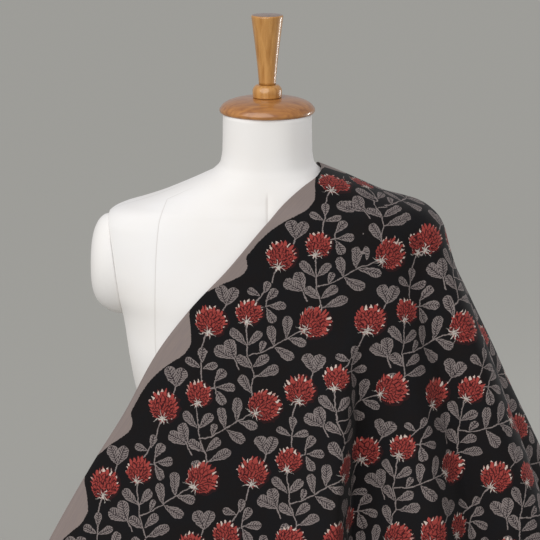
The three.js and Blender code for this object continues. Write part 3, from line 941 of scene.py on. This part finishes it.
print_tree = bpy.data.node_groups.new("block_print", "ShaderNodeTree")
print_tree.interface.new_socket("colour", in_out="OUTPUT", socket_type="NodeSocketColor")
cut = add(print_tree, "ShaderNodeAttribute", {"attribute_name": "cut"})
wobble_noise = add(print_tree, "ShaderNodeTexNoise", None,
                   {"Vector": cut.outputs["Vector"], "Scale": 0.55, "Detail": 2.0})
wobble = add(print_tree, "ShaderNodeMapRange", None,
             {"Value": wobble_noise.outputs["Fac"], "From Min": 0.3, "From Max": 0.7,
              "To Min": -0.4, "To Max": 0.4}).outputs["Result"]
sway_noise = add(print_tree, "ShaderNodeTexNoise", None,
                 {"Vector": cut.outputs["Vector"], "Scale": 0.11, "Detail": 1.0})
centred = add(print_tree, "ShaderNodeVectorMath", {"operation": "SUBTRACT"},
              {0: sway_noise.outputs["Color"], 1: (0.5, 0.5, 0.5)})
sway = {}
for kind, amounts in (("leaf", (0.1, 0.5, 0)), ("stalk", (0, 3, 0)), ("flower", (0.4, 0.4, 0))):
    sway[kind] = add(print_tree, "ShaderNodeVectorMath", {"operation": "MULTIPLY"},
                     {0: centred.outputs[0], 1: amounts}).outputs[0]


def motif(kind, attribute_name):
    """One motif of the print, drawn from the places noted on the mesh."""
    noted = add(print_tree, "ShaderNodeAttribute", {"attribute_name": attribute_name})
    cut_by_hand = add(print_tree, "ShaderNodeVectorMath", {"operation": "ADD"},
                      {0: noted.outputs["Vector"], 1: sway[kind]})
    parts = add(print_tree, "ShaderNodeSeparateXYZ", None, {0: cut_by_hand.outputs[0]})
    inputs = {k: parts.outputs[k] for k in range(3)}
    return add(print_tree, "ShaderNodeGroup", {"node_tree": motif_groups[kind]},
               {**inputs, 3: wobble})


leaf_nodes = [motif("leaf", name) for name in ("leaf_first", "leaf_second", "leaf_third")]
stalk_nodes = [motif("stalk", name) for name in ("stalk_first", "stalk_second")]
flower_node = motif("flower", "flower")
print("nodes in the print so far:", len(print_tree.nodes))

# %% Lay the inks on each other
clouds = add(print_tree, "ShaderNodeTexNoise", None,
             {"Vector": cut.outputs["Vector"], "Scale": 0.035, "Detail": 4.0})
specks = add(print_tree, "ShaderNodeTexNoise", None,
             {"Vector": cut.outputs["Vector"], "Scale": 0.5, "Detail": 3.0})
streak_place = add(print_tree, "ShaderNodeMapping", None,
                   {"Vector": cut.outputs["Vector"], "Scale": (0.9, 0.04, 0.0)})
streaks = add(print_tree, "ShaderNodeTexNoise", None,
              {"Vector": streak_place.outputs[0], "Scale": 1.0, "Detail": 3.0})
cut_parts = add(print_tree, "ShaderNodeSeparateXYZ", None, {0: cut.outputs["Vector"]})
border_edge = add(print_tree, "ShaderNodeMath", {"operation": "ADD"},
                  {0: cut_parts.outputs[2], 1: wobble})
border = add(print_tree, "ShaderNodeMath", {"operation": "LESS_THAN"},
             {0: border_edge.outputs[0], 1: 0.0})
leaf_shape, leaf_dark = leaf_nodes[0].outputs["shape"], leaf_nodes[0].outputs["dark"]
for node in leaf_nodes[1:]:
    leaf_shape = add(print_tree, "ShaderNodeMath", {"operation": "MAXIMUM"},
                     {0: leaf_shape, 1: node.outputs["shape"]}).outputs[0]
    leaf_dark = add(print_tree, "ShaderNodeMath", {"operation": "MAXIMUM"},
                    {0: leaf_dark, 1: node.outputs["dark"]}).outputs[0]
stalk_shape = add(print_tree, "ShaderNodeMath", {"operation": "MAXIMUM"},
                  {0: stalk_nodes[0].outputs[0], 1: stalk_nodes[1].outputs[0]}).outputs[0]
ramps = {}
for name, source, low, high, dark, light in (
    ("ground", clouds, 0.35, 0.65, BLACK_BLUE, BLACK_BROWN),
    ("grey", streaks, 0.3, 0.7, GREY, GREY_WARM),
    ("red", specks, 0.35, 0.65, RED_DEEP, RED),
):
    share = add(print_tree, "ShaderNodeMapRange", None,
                {"Value": source.outputs["Fac"], "From Min": low, "From Max": high})
    mixed = add(print_tree, "ShaderNodeMix", {"data_type": "RGBA"},
                {0: share.outputs["Result"], 6: linear(dark), 7: linear(light)})
    ramps[name] = mixed.outputs[2]
solid = add(print_tree, "ShaderNodeMapRange", None,
            {"Value": specks.outputs["Fac"], "From Min": 0.3, "From Max": 0.5,
             "To Min": 0.25, "To Max": 0.75})
ink = add(print_tree, "ShaderNodeMix", {"data_type": "RGBA"},
          {0: solid.outputs["Result"], 6: ramps["ground"], 7: linear(BLACK)}).outputs[2]
bleed_share = add(print_tree, "ShaderNodeMath", {"operation": "MULTIPLY"},
                  {0: flower_node.outputs["bleed"], 1: 0.6}).outputs[0]
patches = add(print_tree, "ShaderNodeTexNoise", None,
              {"Vector": cut.outputs["Vector"], "Scale": 0.05, "Detail": 1.0})
patchy = add(print_tree, "ShaderNodeMapRange", None,
             {"Value": patches.outputs["Fac"], "From Min": 0.43, "From Max": 0.51})
pale_share = add(print_tree, "ShaderNodeMath", {"operation": "MULTIPLY"},
                 {0: flower_node.outputs["pale"], 1: patchy.outputs["Result"]}).outputs[0]
worn = add(print_tree, "ShaderNodeMapRange", None,
           {"Value": specks.outputs["Fac"], "From Min": 0.4, "From Max": 0.56,
            "To Min": 0.45, "To Max": 1.0})
calyx_share = add(print_tree, "ShaderNodeMath", {"operation": "MULTIPLY"},
                  {0: flower_node.outputs["calyx"], 1: worn.outputs["Result"]}).outputs[0]
layers_of_ink = [
    (bleed_share, linear(BLEED)),
    (stalk_shape, linear(LEAF_GREY)),
    (leaf_shape, linear(LEAF_GREY)),
    (leaf_dark, linear(VEIN)),
    (flower_node.outputs["head"], ramps["red"]),
    (flower_node.outputs["outline"], linear(MAROON)),
    (flower_node.outputs["tips"], linear(RED)),
    (pale_share, linear(PALE)),
    (calyx_share, linear(CALYX)),
    (border.outputs[0], ramps["grey"]),
]
for mask, colour in layers_of_ink:
    laid = add(print_tree, "ShaderNodeMix", {"data_type": "RGBA"}, {0: mask, 6: ink, 7: colour})
    ink = laid.outputs[2]
add(print_tree, "NodeGroupOutput", None, {"colour": ink})
print("nodes in the print:", len(print_tree.nodes))


# %% The two faces of the cloth
THREADS = 1 / 0.9  # turns per mm: real threads stand 0.35 mm apart, drawn at 0.9 to show at all


def printed_cotton(name, show_through):
    """Printed plain-weave cotton. The reverse shows the print through the cloth."""
    material = bpy.data.materials.new(name)
    material.use_nodes = True
    tree = material.node_tree
    surface = tree.nodes["Principled BSDF"]
    group = add(tree, "ShaderNodeGroup", {"node_tree": print_tree})
    veil = add(tree, "ShaderNodeMix", {"data_type": "RGBA"},
               {0: show_through, 6: group.outputs[0], 7: linear("#4a4447")})
    places = add(tree, "ShaderNodeAttribute", {"attribute_name": "cut"})
    parts = add(tree, "ShaderNodeSeparateXYZ", None, {0: places.outputs["Vector"]})
    waves = []
    for k in (0, 1):
        turns = add(tree, "ShaderNodeMath", {"operation": "MULTIPLY"},
                    {0: parts.outputs[k], 1: 2 * math.pi * THREADS})
        waves.append(add(tree, "ShaderNodeMath", {"operation": "SINE"}, {0: turns.outputs[0]}))
    weave = add(tree, "ShaderNodeMath", {"operation": "MULTIPLY"},
                {0: waves[0].outputs[0], 1: waves[1].outputs[0]})
    bump = add(tree, "ShaderNodeBump", None,
               {"Height": weave.outputs[0], "Strength": 0.25, "Distance": 0.0001})
    tree.links.new(veil.outputs[2], surface.inputs["Base Color"])
    tree.links.new(bump.outputs["Normal"], surface.inputs["Normal"])
    surface.inputs["Roughness"].default_value = 0.9
    surface.inputs["IOR"].default_value = 1.53
    surface.inputs["Specular IOR Level"].default_value = 0.2
    surface.inputs["Sheen Weight"].default_value = 0.03
    surface.inputs["Sheen Roughness"].default_value = 0.5
    return material


cloth_mesh.materials.append(printed_cotton("block_printed_cotton_face", 0.0))
cloth_mesh.materials.append(printed_cotton("block_printed_cotton_reverse", 0.55))
slots_of_faces = np.zeros(len(cloth_mesh.polygons), np.int32)
slots_of_faces[len(outer) : len(outer) + len(inner)] = 1
cloth_mesh.polygons.foreach_set("material_index", slots_of_faces)
print("materials:", [m.name for m in cloth_mesh.materials])

# %% [markdown]
# ## A flat map of the cloth
#
# A pattern drawn into a picture needs a map on which no two places overlap. The flat pattern is
# such a map already: the two faces lie side by side on it, at one scale.

# %% Lay out the map
low, high = one_layer.min(axis=0), one_layer.max(axis=0)
tall, wide = high[1] - low[1], high[0] - low[0]
both_wide = 2 * wide + 20  # with 20 mm between the two faces
MAP_EDGE = 0.01
scale = (1 - 2 * MAP_EDGE) / max(tall, both_wide)
spot = (flat_points - low) * scale
spot[count:, 0] = both_wide * scale - spot[count:, 0]
flat_map = cloth_mesh.uv_layers.new(name="OFBake")
flat_map.data.foreach_set("uv", (spot[corner_vertex] + MAP_EDGE).astype(np.float32).ravel())
print("the map holds", round(tall), "by", round(wide), "mm twice")

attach(cloth, "root")
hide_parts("cloth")

# %% [markdown]
# ## The padded form
#
# The form is a hard shell with a thin wadding and a cover of white cotton jersey, sewn from
# panels. A body through sections gives its calm, even curves. Columns of points run along the
# panel seams, so that each seam is a real shallow groove and not only a line of colour.

# %% Sections of the form
NECK_TOP = 683

# height, half width, depth in front, depth behind
TORSO = [
    (0, 165, 100, 116),  # hips
    (55, 163, 99, 115),
    (130, 144, 92, 97),
    (205, 126, 84, 78),  # waist
    (275, 140, 97, 84),
    (344, 158, 108, 94),  # bust
    (399, 170, 108, 100),
    (430, 173.5, 105, 103),  # underarm
    (445, 177, 103.5, 104),
    (470, 189, 100, 104.5),
    (500, 197, 94, 103),
    (530, 199, 87, 99),
    (550, 197, 81, 93),
    (559.5, 192, 77.5, 89),  # end of the shoulder
    (567, 184, 74.5, 85.5),
    (571.5, 174, 73, 83),
    (576.3, 157, 71, 80),
    (585.3, 129, 67, 75),
    (590.8, 115, 65, 72),
    (606.2, 79, 59.5, 64),
    (612.6, 66, 57.5, 61),  # root of the neck
    (624.8, 55.5, 54.5, 57),
    (640, 53.2, 53.5, 55),
    (NECK_TOP, 52.4, 53, 53),
]
SECTION_POWER = 2.3  # 2 is an ellipse, more is boxier
ARMHOLE_X, ARMHOLE_Z, ARMHOLE_SLOPE = 172, 448, 0.14
FORM_BUST_X, FORM_BUST_Z, FORM_BUST_PROUD, FORM_BUST_WIDE, FORM_BUST_TALL = 82, 352, 22, 46, 52
FORM_BUST_FADE = 60  # the bust has its whole depth this far in front of the axis

# height, x of the seam on each side
PRINCESS_SEAM = [
    (0, 118),
    (130, 104),
    (205, 88),
    (275, 103),
    (352, 121),
    (424, 132),
    (500, 131),
    (560, 127),
    (597, 112),
    (680, 40),
]


def signed_power(value, power):
    """A power that keeps the sign of the value."""
    return np.sign(value) * np.abs(value) ** power


def form_points(angles, heights):
    """Points of the form, in mm, at these angles round it and heights."""
    half = column_at(TORSO, 1, heights)
    depth = np.where(np.sin(angles) < 0, column_at(TORSO, 2, heights), column_at(TORSO, 3, heights))
    x = half * signed_power(np.cos(angles), 2 / SECTION_POWER)
    y = depth * signed_power(np.sin(angles), 2 / SECTION_POWER)
    proud = bell(heights - FORM_BUST_Z, FORM_BUST_TALL) * FORM_BUST_PROUD
    proud = proud * np.clip(-y / FORM_BUST_FADE, 0, 1)
    y = y - proud * sum(bell(x - side * FORM_BUST_X, FORM_BUST_WIDE) for side in (1, -1))
    return np.stack([x, y, heights], axis=-1)


print("the form is", round(2 * column_at(TORSO, 1, 205).item()), "mm wide at the waist")

# %% Columns along the seams
GROOVE = 0.5  # how deep a seam lies
GROOVE_HALF = 1.1  # how wide, to each side
COLUMNS_BETWEEN = 22
FORM_ROWS = 190
SEAM_TOP, SEAM_FADE = 600, 8  # seams die away just below the neck
SMALL_TURN = 0.005  # to each side of a seam, to find how far apart its columns stand

# rows crowd on the slope of the shoulder
form_heights = spread(0, NECK_TOP, FORM_ROWS, lambda z: 1 + 2.2 * bell(z - 592, 36))
seam_x = column_at(PRINCESS_SEAM, 1, form_heights)
half_width = column_at(TORSO, 1, form_heights)
princess = np.arccos(np.clip(seam_x / half_width, 0.05, 0.92) ** (SECTION_POWER / 2))
quarter = np.full_like(princess, math.pi / 2)
anchors = [0 * princess, princess, quarter, math.pi - princess, 2 * quarter]
anchors += [math.pi + princess, 3 * quarter, 2 * math.pi - princess, 4 * quarter]
columns, depths = [], []
for start, end in zip(anchors, anchors[1:]):
    around = form_points(start + SMALL_TURN, form_heights)
    around = around - form_points(start - SMALL_TURN, form_heights)
    step = GROOVE_HALF * 2 * SMALL_TURN / np.linalg.norm(around, axis=1)
    columns += [start, start + step]
    depths += [1, 0]
    for k in range(1, COLUMNS_BETWEEN):
        columns.append(start + step + (end - start - 2 * step) * k / COLUMNS_BETWEEN)
        depths.append(0)
    columns.append(end - step)
    depths.append(0)
angles = np.stack(columns, axis=1)
seam_here = np.array(depths)[None, :] * np.ones((len(form_heights), 1))
seam_here *= np.clip((SEAM_TOP - form_heights) / SEAM_FADE, 0, 1)[:, None]
rings = form_points(angles, form_heights[:, None] * np.ones_like(angles))
outward = np.stack([rings[..., 0], rings[..., 1], 0 * rings[..., 0]], axis=-1)
outward /= np.linalg.norm(outward, axis=2)[..., None]
rings = rings - outward * (seam_here * GROOVE)[..., None]
print("rings and columns:", rings.shape[:2])


# %% Build the body
def body_through(rings):
    """Points and faces of a closed body through rings of equally many points."""
    count, columns = rings.shape[:2]
    points = list(rings.reshape(-1, 3))
    faces = []
    for r in range(count - 1):
        for c in range(columns):
            d = (c + 1) % columns
            low_edge, high_edge = r * columns, (r + 1) * columns
            faces.append((low_edge + c, low_edge + d, high_edge + d, high_edge + c))
    faces.append(tuple(reversed(range(columns))))
    faces.append(tuple(range((count - 1) * columns, count * columns)))
    return points, faces


def new_piece(name, points, faces, slot, node):
    """A smooth piece from points in mm that rides on the frame in place of a CAD node."""
    mesh = bpy.data.meshes.new(name)
    mesh.from_pydata(np.array(points) * MM, [], faces)
    mesh.shade_smooth()
    piece = bpy.data.objects.new(name, mesh)
    bpy.context.scene.collection.objects.link(piece)
    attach(piece, "root")
    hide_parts(node)
    return piece


form = new_piece("form_body", *body_through(rings), "cotton_cover", "torso")
seam_note = form.data.attributes.new("seam", "FLOAT", "POINT")
seam_note.data.foreach_set("value", seam_here.astype(np.float32).ravel())
print("form faces:", len(form.data.polygons))

# %% Cut the armholes flat
WAIST_SAFE = 300  # below it the slanted cut would meet the hips, so it stays above
shape = bmesh.new()
shape.from_mesh(form.data)
for side in (-1, 1):
    edge_point = Vector((side * ARMHOLE_X, 0, ARMHOLE_Z)) * MM
    facing = Vector((side, 0, -ARMHOLE_SLOPE)).normalized()
    middles = [(face, face.calc_center_median()) for face in shape.faces]
    near = [face for face, at in middles if at.z > WAIST_SAFE * MM and at.x * side > 0]
    parts = near + list({e for f in near for e in f.edges}) + list({v for f in near for v in f.verts})
    bmesh.ops.bisect_plane(shape, geom=parts, plane_co=edge_point, plane_no=facing, clear_outer=True)
    open_edges = [e for e in shape.edges if e.is_boundary]
    filled = bmesh.ops.holes_fill(shape, edges=open_edges)
    for face in filled["faces"]:
        face.smooth = False
        for e in face.edges:
            e.smooth = False
shape.normal_update()
shape.to_mesh(form.data)
shape.free()
print("form after the cuts:", len(form.data.polygons), "faces")

# %% [markdown]
# ## The arm stubs
#
# A small form has no arms: a padded disc closes each armhole. It is a dome over a slanted oval,
# a little fuller at its lower end, with its edge tucked against the armhole.

# %% Domes over the armholes
STUB_Z, STUB_HIGH, STUB_DEEP, STUB_PROUD = 500, 61, 46, 31.5
STUB_LEAN = 0.0048  # how much fuller the dome gets for each mm further down
STUB_POWER = 3.2  # of the dome: 2 is round, more is flatter on top
STUB_RINGS, STUB_SIDES = 28, 96
GAP = 0.3


def stub_rings(side):
    """Rings of a dome, from its rim outwards to its crown."""
    rings = []
    for r in range(STUB_RINGS + 1):
        out = math.cos(math.pi / 2 * (r / (STUB_RINGS + 0.4)))
        angle = 2 * math.pi * np.arange(STUB_SIDES) / STUB_SIDES
        z = STUB_Z + out * STUB_HIGH * np.sin(angle)
        y = out * STUB_DEEP * np.cos(angle)
        dome = math.sqrt(max(0, 1 - out**STUB_POWER)) * STUB_PROUD
        armhole = ARMHOLE_X + (z - ARMHOLE_Z) * ARMHOLE_SLOPE
        x = armhole + GAP + dome * (1 + STUB_LEAN * (STUB_Z - z))
        ring = np.stack([side * x, y, z], axis=1)
        rings.append(ring if side > 0 else ring[::-1])
    return np.array(rings)


stubs = []
for side, node in ((-1, "arm_stub_left"), (1, "arm_stub_right")):
    points, faces = body_through(stub_rings(side))
    stub = new_piece(f"{node}_pad", points, faces, "cotton_cover", node)
    shape = bmesh.new()
    shape.from_mesh(stub.data)
    bmesh.ops.recalc_face_normals(shape, faces=shape.faces)
    shape.to_mesh(stub.data)
    shape.free()
    stubs.append(stub)
print("stub faces:", [len(stub.data.polygons) for stub in stubs])

# %% [markdown]
# ## White cotton jersey
#
# The cover is a bleached cotton jersey, pulled tight. It scatters light evenly, so it needs only
# a soft roughness, a faint knit and slight yellowing. A painted shade darkens each seam's groove.

# %% Material of the cover
cover = bpy.data.materials.new("bleached_cotton_jersey")
cover.use_nodes = True
tree = cover.node_tree
surface = tree.nodes["Principled BSDF"]
place = add(tree, "ShaderNodeTexCoord").outputs["Object"]
stain = add(tree, "ShaderNodeTexNoise", None, {"Vector": place, "Scale": 9.0, "Detail": 3.0})
stain_share = add(tree, "ShaderNodeMapRange", None,
                  {"Value": stain.outputs["Fac"], "From Min": 0.35, "From Max": 0.75})
white = add(tree, "ShaderNodeMix", {"data_type": "RGBA"},
            {0: stain_share.outputs["Result"], 6: linear("#eceae8"), 7: linear("#e9e5e0")})
# painted shade: along the seams the white is mixed towards a grey-brown, as shade lying in the groove
seam = add(tree, "ShaderNodeAttribute", {"attribute_name": "seam"})
seam_painted_shade = add(tree, "ShaderNodeMath", {"operation": "MULTIPLY"},
                 {0: seam.outputs["Fac"], 1: 0.45})
white_with_painted_seam_shade = add(tree, "ShaderNodeMix", {"data_type": "RGBA"},
             {0: seam_painted_shade.outputs[0], 6: white.outputs[2], 7: linear("#a9a19a")})
tree.links.new(white_with_painted_seam_shade.outputs[2], surface.inputs["Base Color"])
knit = add(tree, "ShaderNodeTexNoise", None, {"Vector": place, "Scale": 700.0, "Detail": 2.0})
knit_bump = add(tree, "ShaderNodeBump", None,
                {"Height": knit.outputs["Fac"], "Strength": 0.12, "Distance": 0.0004})
tree.links.new(knit_bump.outputs["Normal"], surface.inputs["Normal"])
surface.inputs["Roughness"].default_value = 0.85
surface.inputs["IOR"].default_value = 1.53
surface.inputs["Specular IOR Level"].default_value = 0.3
for piece in (form, *stubs):
    piece.data.materials.append(cover)
print("cover nodes:", len(tree.nodes))

# %% [markdown]
# ## The turned wood
#
# The neck cap, the collar and the handle are turned from beech on a lathe, so each is a profile
# spun round the axis. The profiles have the same measures as the frame's, with finer steps.

# %% Profiles
CAP_RADIUS, CAP_RIM, CAP_TOP = 56.5, 7.5, 701
COLLAR_RADIUS, COLLAR_TOP = 17.5, 716.5
HANDLE_TOP, HANDLE_LOW, HANDLE_HIGH, HANDLE_EDGE = 798.5, 10, 18.9, 1.8


def arc(centre_radius, centre_z, radius, height, start, end, steps):
    """Points of an oval's arc, from one angle to another in degrees up from straight out."""
    angle = np.radians(np.linspace(start, end, steps + 1))
    return list(zip(centre_radius + radius * np.cos(angle), centre_z + height * np.sin(angle)))


TURNED_SIDES = 128


def turned(name, profile, node):
    """A piece spun round the axis from radius and height pairs."""
    angle = 2 * math.pi * np.arange(TURNED_SIDES) / TURNED_SIDES
    rings = np.array([np.stack([r * np.cos(angle), r * np.sin(angle), 0 * angle + z], axis=1)
                      for r, z in profile])
    return new_piece(name, *body_through(rings), "varnished_beech", node)


under = NECK_TOP + GAP
cap_profile = [(2, under), (CAP_RADIUS - 6, under), (CAP_RADIUS - 2.4, under)]
cap_profile += arc(CAP_RADIUS - 2.4, under + 3.2, 2.4, 3.2, -80, 30, 10)
crown = under + CAP_RIM - 2.5
cap_profile += arc(16, crown, CAP_RADIUS - 17.5, CAP_TOP - crown, 14, 88, 26)
cap_profile += [(2, CAP_TOP)]
neck_cap = turned("neck_cap_turned", cap_profile, "neck_cap")
collar_bottom = CAP_TOP + GAP
collar_profile = [(2, collar_bottom), (COLLAR_RADIUS - 1.4, collar_bottom)]
collar_profile += arc(COLLAR_RADIUS - 1.4, collar_bottom + 1.6, 1, 1.6, -80, 0, 6)
shoulder = collar_bottom + 6.5
collar_profile += arc(COLLAR_RADIUS - 7, shoulder, 7, COLLAR_TOP - shoulder, -10, 86, 20)
collar_profile += [(2, COLLAR_TOP)]
collar = turned("finial_collar_turned", collar_profile, "finial_collar")
handle_bottom = COLLAR_TOP + GAP
share = np.linspace(0, 1, 25)
handle_radius = HANDLE_LOW + (HANDLE_HIGH - HANDLE_LOW) * share**1.22  # a slight trumpet
handle_profile = [(2, handle_bottom)]
edge_radius, edge_z = HANDLE_HIGH - HANDLE_EDGE, HANDLE_TOP - HANDLE_EDGE
handle_profile += list(zip(handle_radius, handle_bottom + (edge_z - handle_bottom) * share))
handle_profile += arc(edge_radius, edge_z, HANDLE_EDGE, HANDLE_EDGE, 10, 80, 8)
handle_profile += [(edge_radius - 1, HANDLE_TOP + 0.1), (2, HANDLE_TOP + 0.6)]
handle = turned("finial_handle_turned", handle_profile, "finial_handle")
print("turned pieces:", [len(p.data.polygons) for p in (neck_cap, collar, handle)])

# %% [markdown]
# ## Varnished beech
#
# Beech is a pale reddish-brown wood with short dark flecks along its grain. Old varnish has gone
# amber over it and still shines, so a coat lies over a soft wood surface. The cap is cut across
# the grain and is darker, and the varnish has worn off the end grain on top of the handle.


# %% Material of the wood
def beech(name, light, dark, grain_scale):
    """Varnished beech, with the grain along the axis that has the small scale."""
    material = bpy.data.materials.new(name)
    material.use_nodes = True
    tree = material.node_tree
    surface = tree.nodes["Principled BSDF"]
    place = add(tree, "ShaderNodeTexCoord").outputs["Object"]
    stretched = add(tree, "ShaderNodeMapping", None, {"Vector": place, "Scale": grain_scale})
    grain = add(tree, "ShaderNodeTexNoise", None,
                {"Vector": stretched.outputs[0], "Scale": 1.0, "Detail": 5.0, "Distortion": 0.4})
    share = add(tree, "ShaderNodeMapRange", None,
                {"Value": grain.outputs["Fac"], "From Min": 0.35, "From Max": 0.7})
    colour = add(tree, "ShaderNodeMix", {"data_type": "RGBA"},
                 {0: share.outputs["Result"], 6: linear(light), 7: linear(dark)})
    tree.links.new(colour.outputs[2], surface.inputs["Base Color"])
    bump = add(tree, "ShaderNodeBump", None,
               {"Height": grain.outputs["Fac"], "Strength": 0.05, "Distance": 0.0003})
    tree.links.new(bump.outputs["Normal"], surface.inputs["Normal"])
    surface.inputs["Roughness"].default_value = 0.38
    surface.inputs["IOR"].default_value = 1.5
    surface.inputs["Coat Weight"].default_value = 0.7
    surface.inputs["Coat Roughness"].default_value = 0.12
    return material


handle_wood = beech("varnished_beech_along_the_grain", "#c8924f", "#a8712f", (260, 260, 18))
cap_wood = beech("varnished_beech_across_the_grain", "#b57a3d", "#8d5627", (40, 260, 200))
end_grain = beech("worn_end_grain_of_beech", "#8d6a50", "#6f5140", (200, 200, 200))
for piece, wood in ((neck_cap, cap_wood), (collar, handle_wood), (handle, handle_wood)):
    piece.data.materials.append(wood)
handle.data.materials.append(end_grain)
for face in handle.data.polygons:
    if face.center.z > (HANDLE_TOP - 0.1) * MM:
        face.material_index = 1
print("woods:", [wood.name for wood in (handle_wood, cap_wood, end_grain)])

# %% [markdown]
# ## Floor and light
#
# A wide plain floor in a warm pale grey fills the picture behind the form. A broad soft light
# from the upper left models the cloth, a sky of even light fills the shadows, and a tall strip
# behind the right side draws the bright line down the varnished handle.

# %% Floor
FLOOR_HALF = 60
floor_mesh = bpy.data.meshes.new("floor")
floor_corners = [(-FLOOR_HALF, -FLOOR_HALF, 0), (FLOOR_HALF, -FLOOR_HALF, 0),
                 (FLOOR_HALF, FLOOR_HALF, 0), (-FLOOR_HALF, FLOOR_HALF, 0)]
floor_mesh.from_pydata(floor_corners, [], [(0, 1, 2, 3)])
floor = bpy.data.objects.new("floor", floor_mesh)
bpy.context.scene.collection.objects.link(floor)
floor_paint = bpy.data.materials.new("matt_floor_paint")
floor_paint.use_nodes = True
surface = floor_paint.node_tree.nodes["Principled BSDF"]
surface.inputs["Base Color"].default_value = linear("#abaaa4")
surface.inputs["Roughness"].default_value = 1.0
surface.inputs["Specular IOR Level"].default_value = 0.0
floor_mesh.materials.append(floor_paint)
floor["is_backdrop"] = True
print("floor:", 2 * FLOOR_HALF, "m wide")

# %% Light
world = bpy.data.worlds.new("soft_sky")
world.use_nodes = True
world.node_tree.nodes["Background"].inputs["Color"].default_value = linear("#eaeaee")
world.node_tree.nodes["Background"].inputs["Strength"].default_value = 0.48
bpy.context.scene.world = world


def aimed_light(name, kind, settings, position, target):
    """A light that stands at a place and points at a target."""
    light = bpy.data.lights.new(name, kind)
    for key, value in settings.items():
        setattr(light, key, value)
    lamp = bpy.data.objects.new(name, light)
    lamp.location = position
    lamp.rotation_euler = (Vector(target) - Vector(position)).to_track_quat("-Z", "Y").to_euler()
    bpy.context.scene.collection.objects.link(lamp)
    return lamp


chest = Vector((0, 0, 0.5))
aimed_light("key", "SUN", {"energy": 2.4, "angle": math.radians(70)},
            chest + Vector((-0.7, -1.4, 1.1)), chest)
aimed_light("strip", "AREA", {"energy": 8, "shape": "RECTANGLE", "size": 0.15, "size_y": 0.9},
            (1.45, 0.8, 0.42), (0, 0, 0.75))
bpy.context.scene.view_settings.view_transform = "Standard"

# %% [markdown]
# ## The sizes
#
# The looks may stand at most a little proud of the frame, so both boxes are written down.

# %% Write the sizes
low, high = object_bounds()
print("looks box, mm:", [round(v / MM) for v in (*low, *high)])
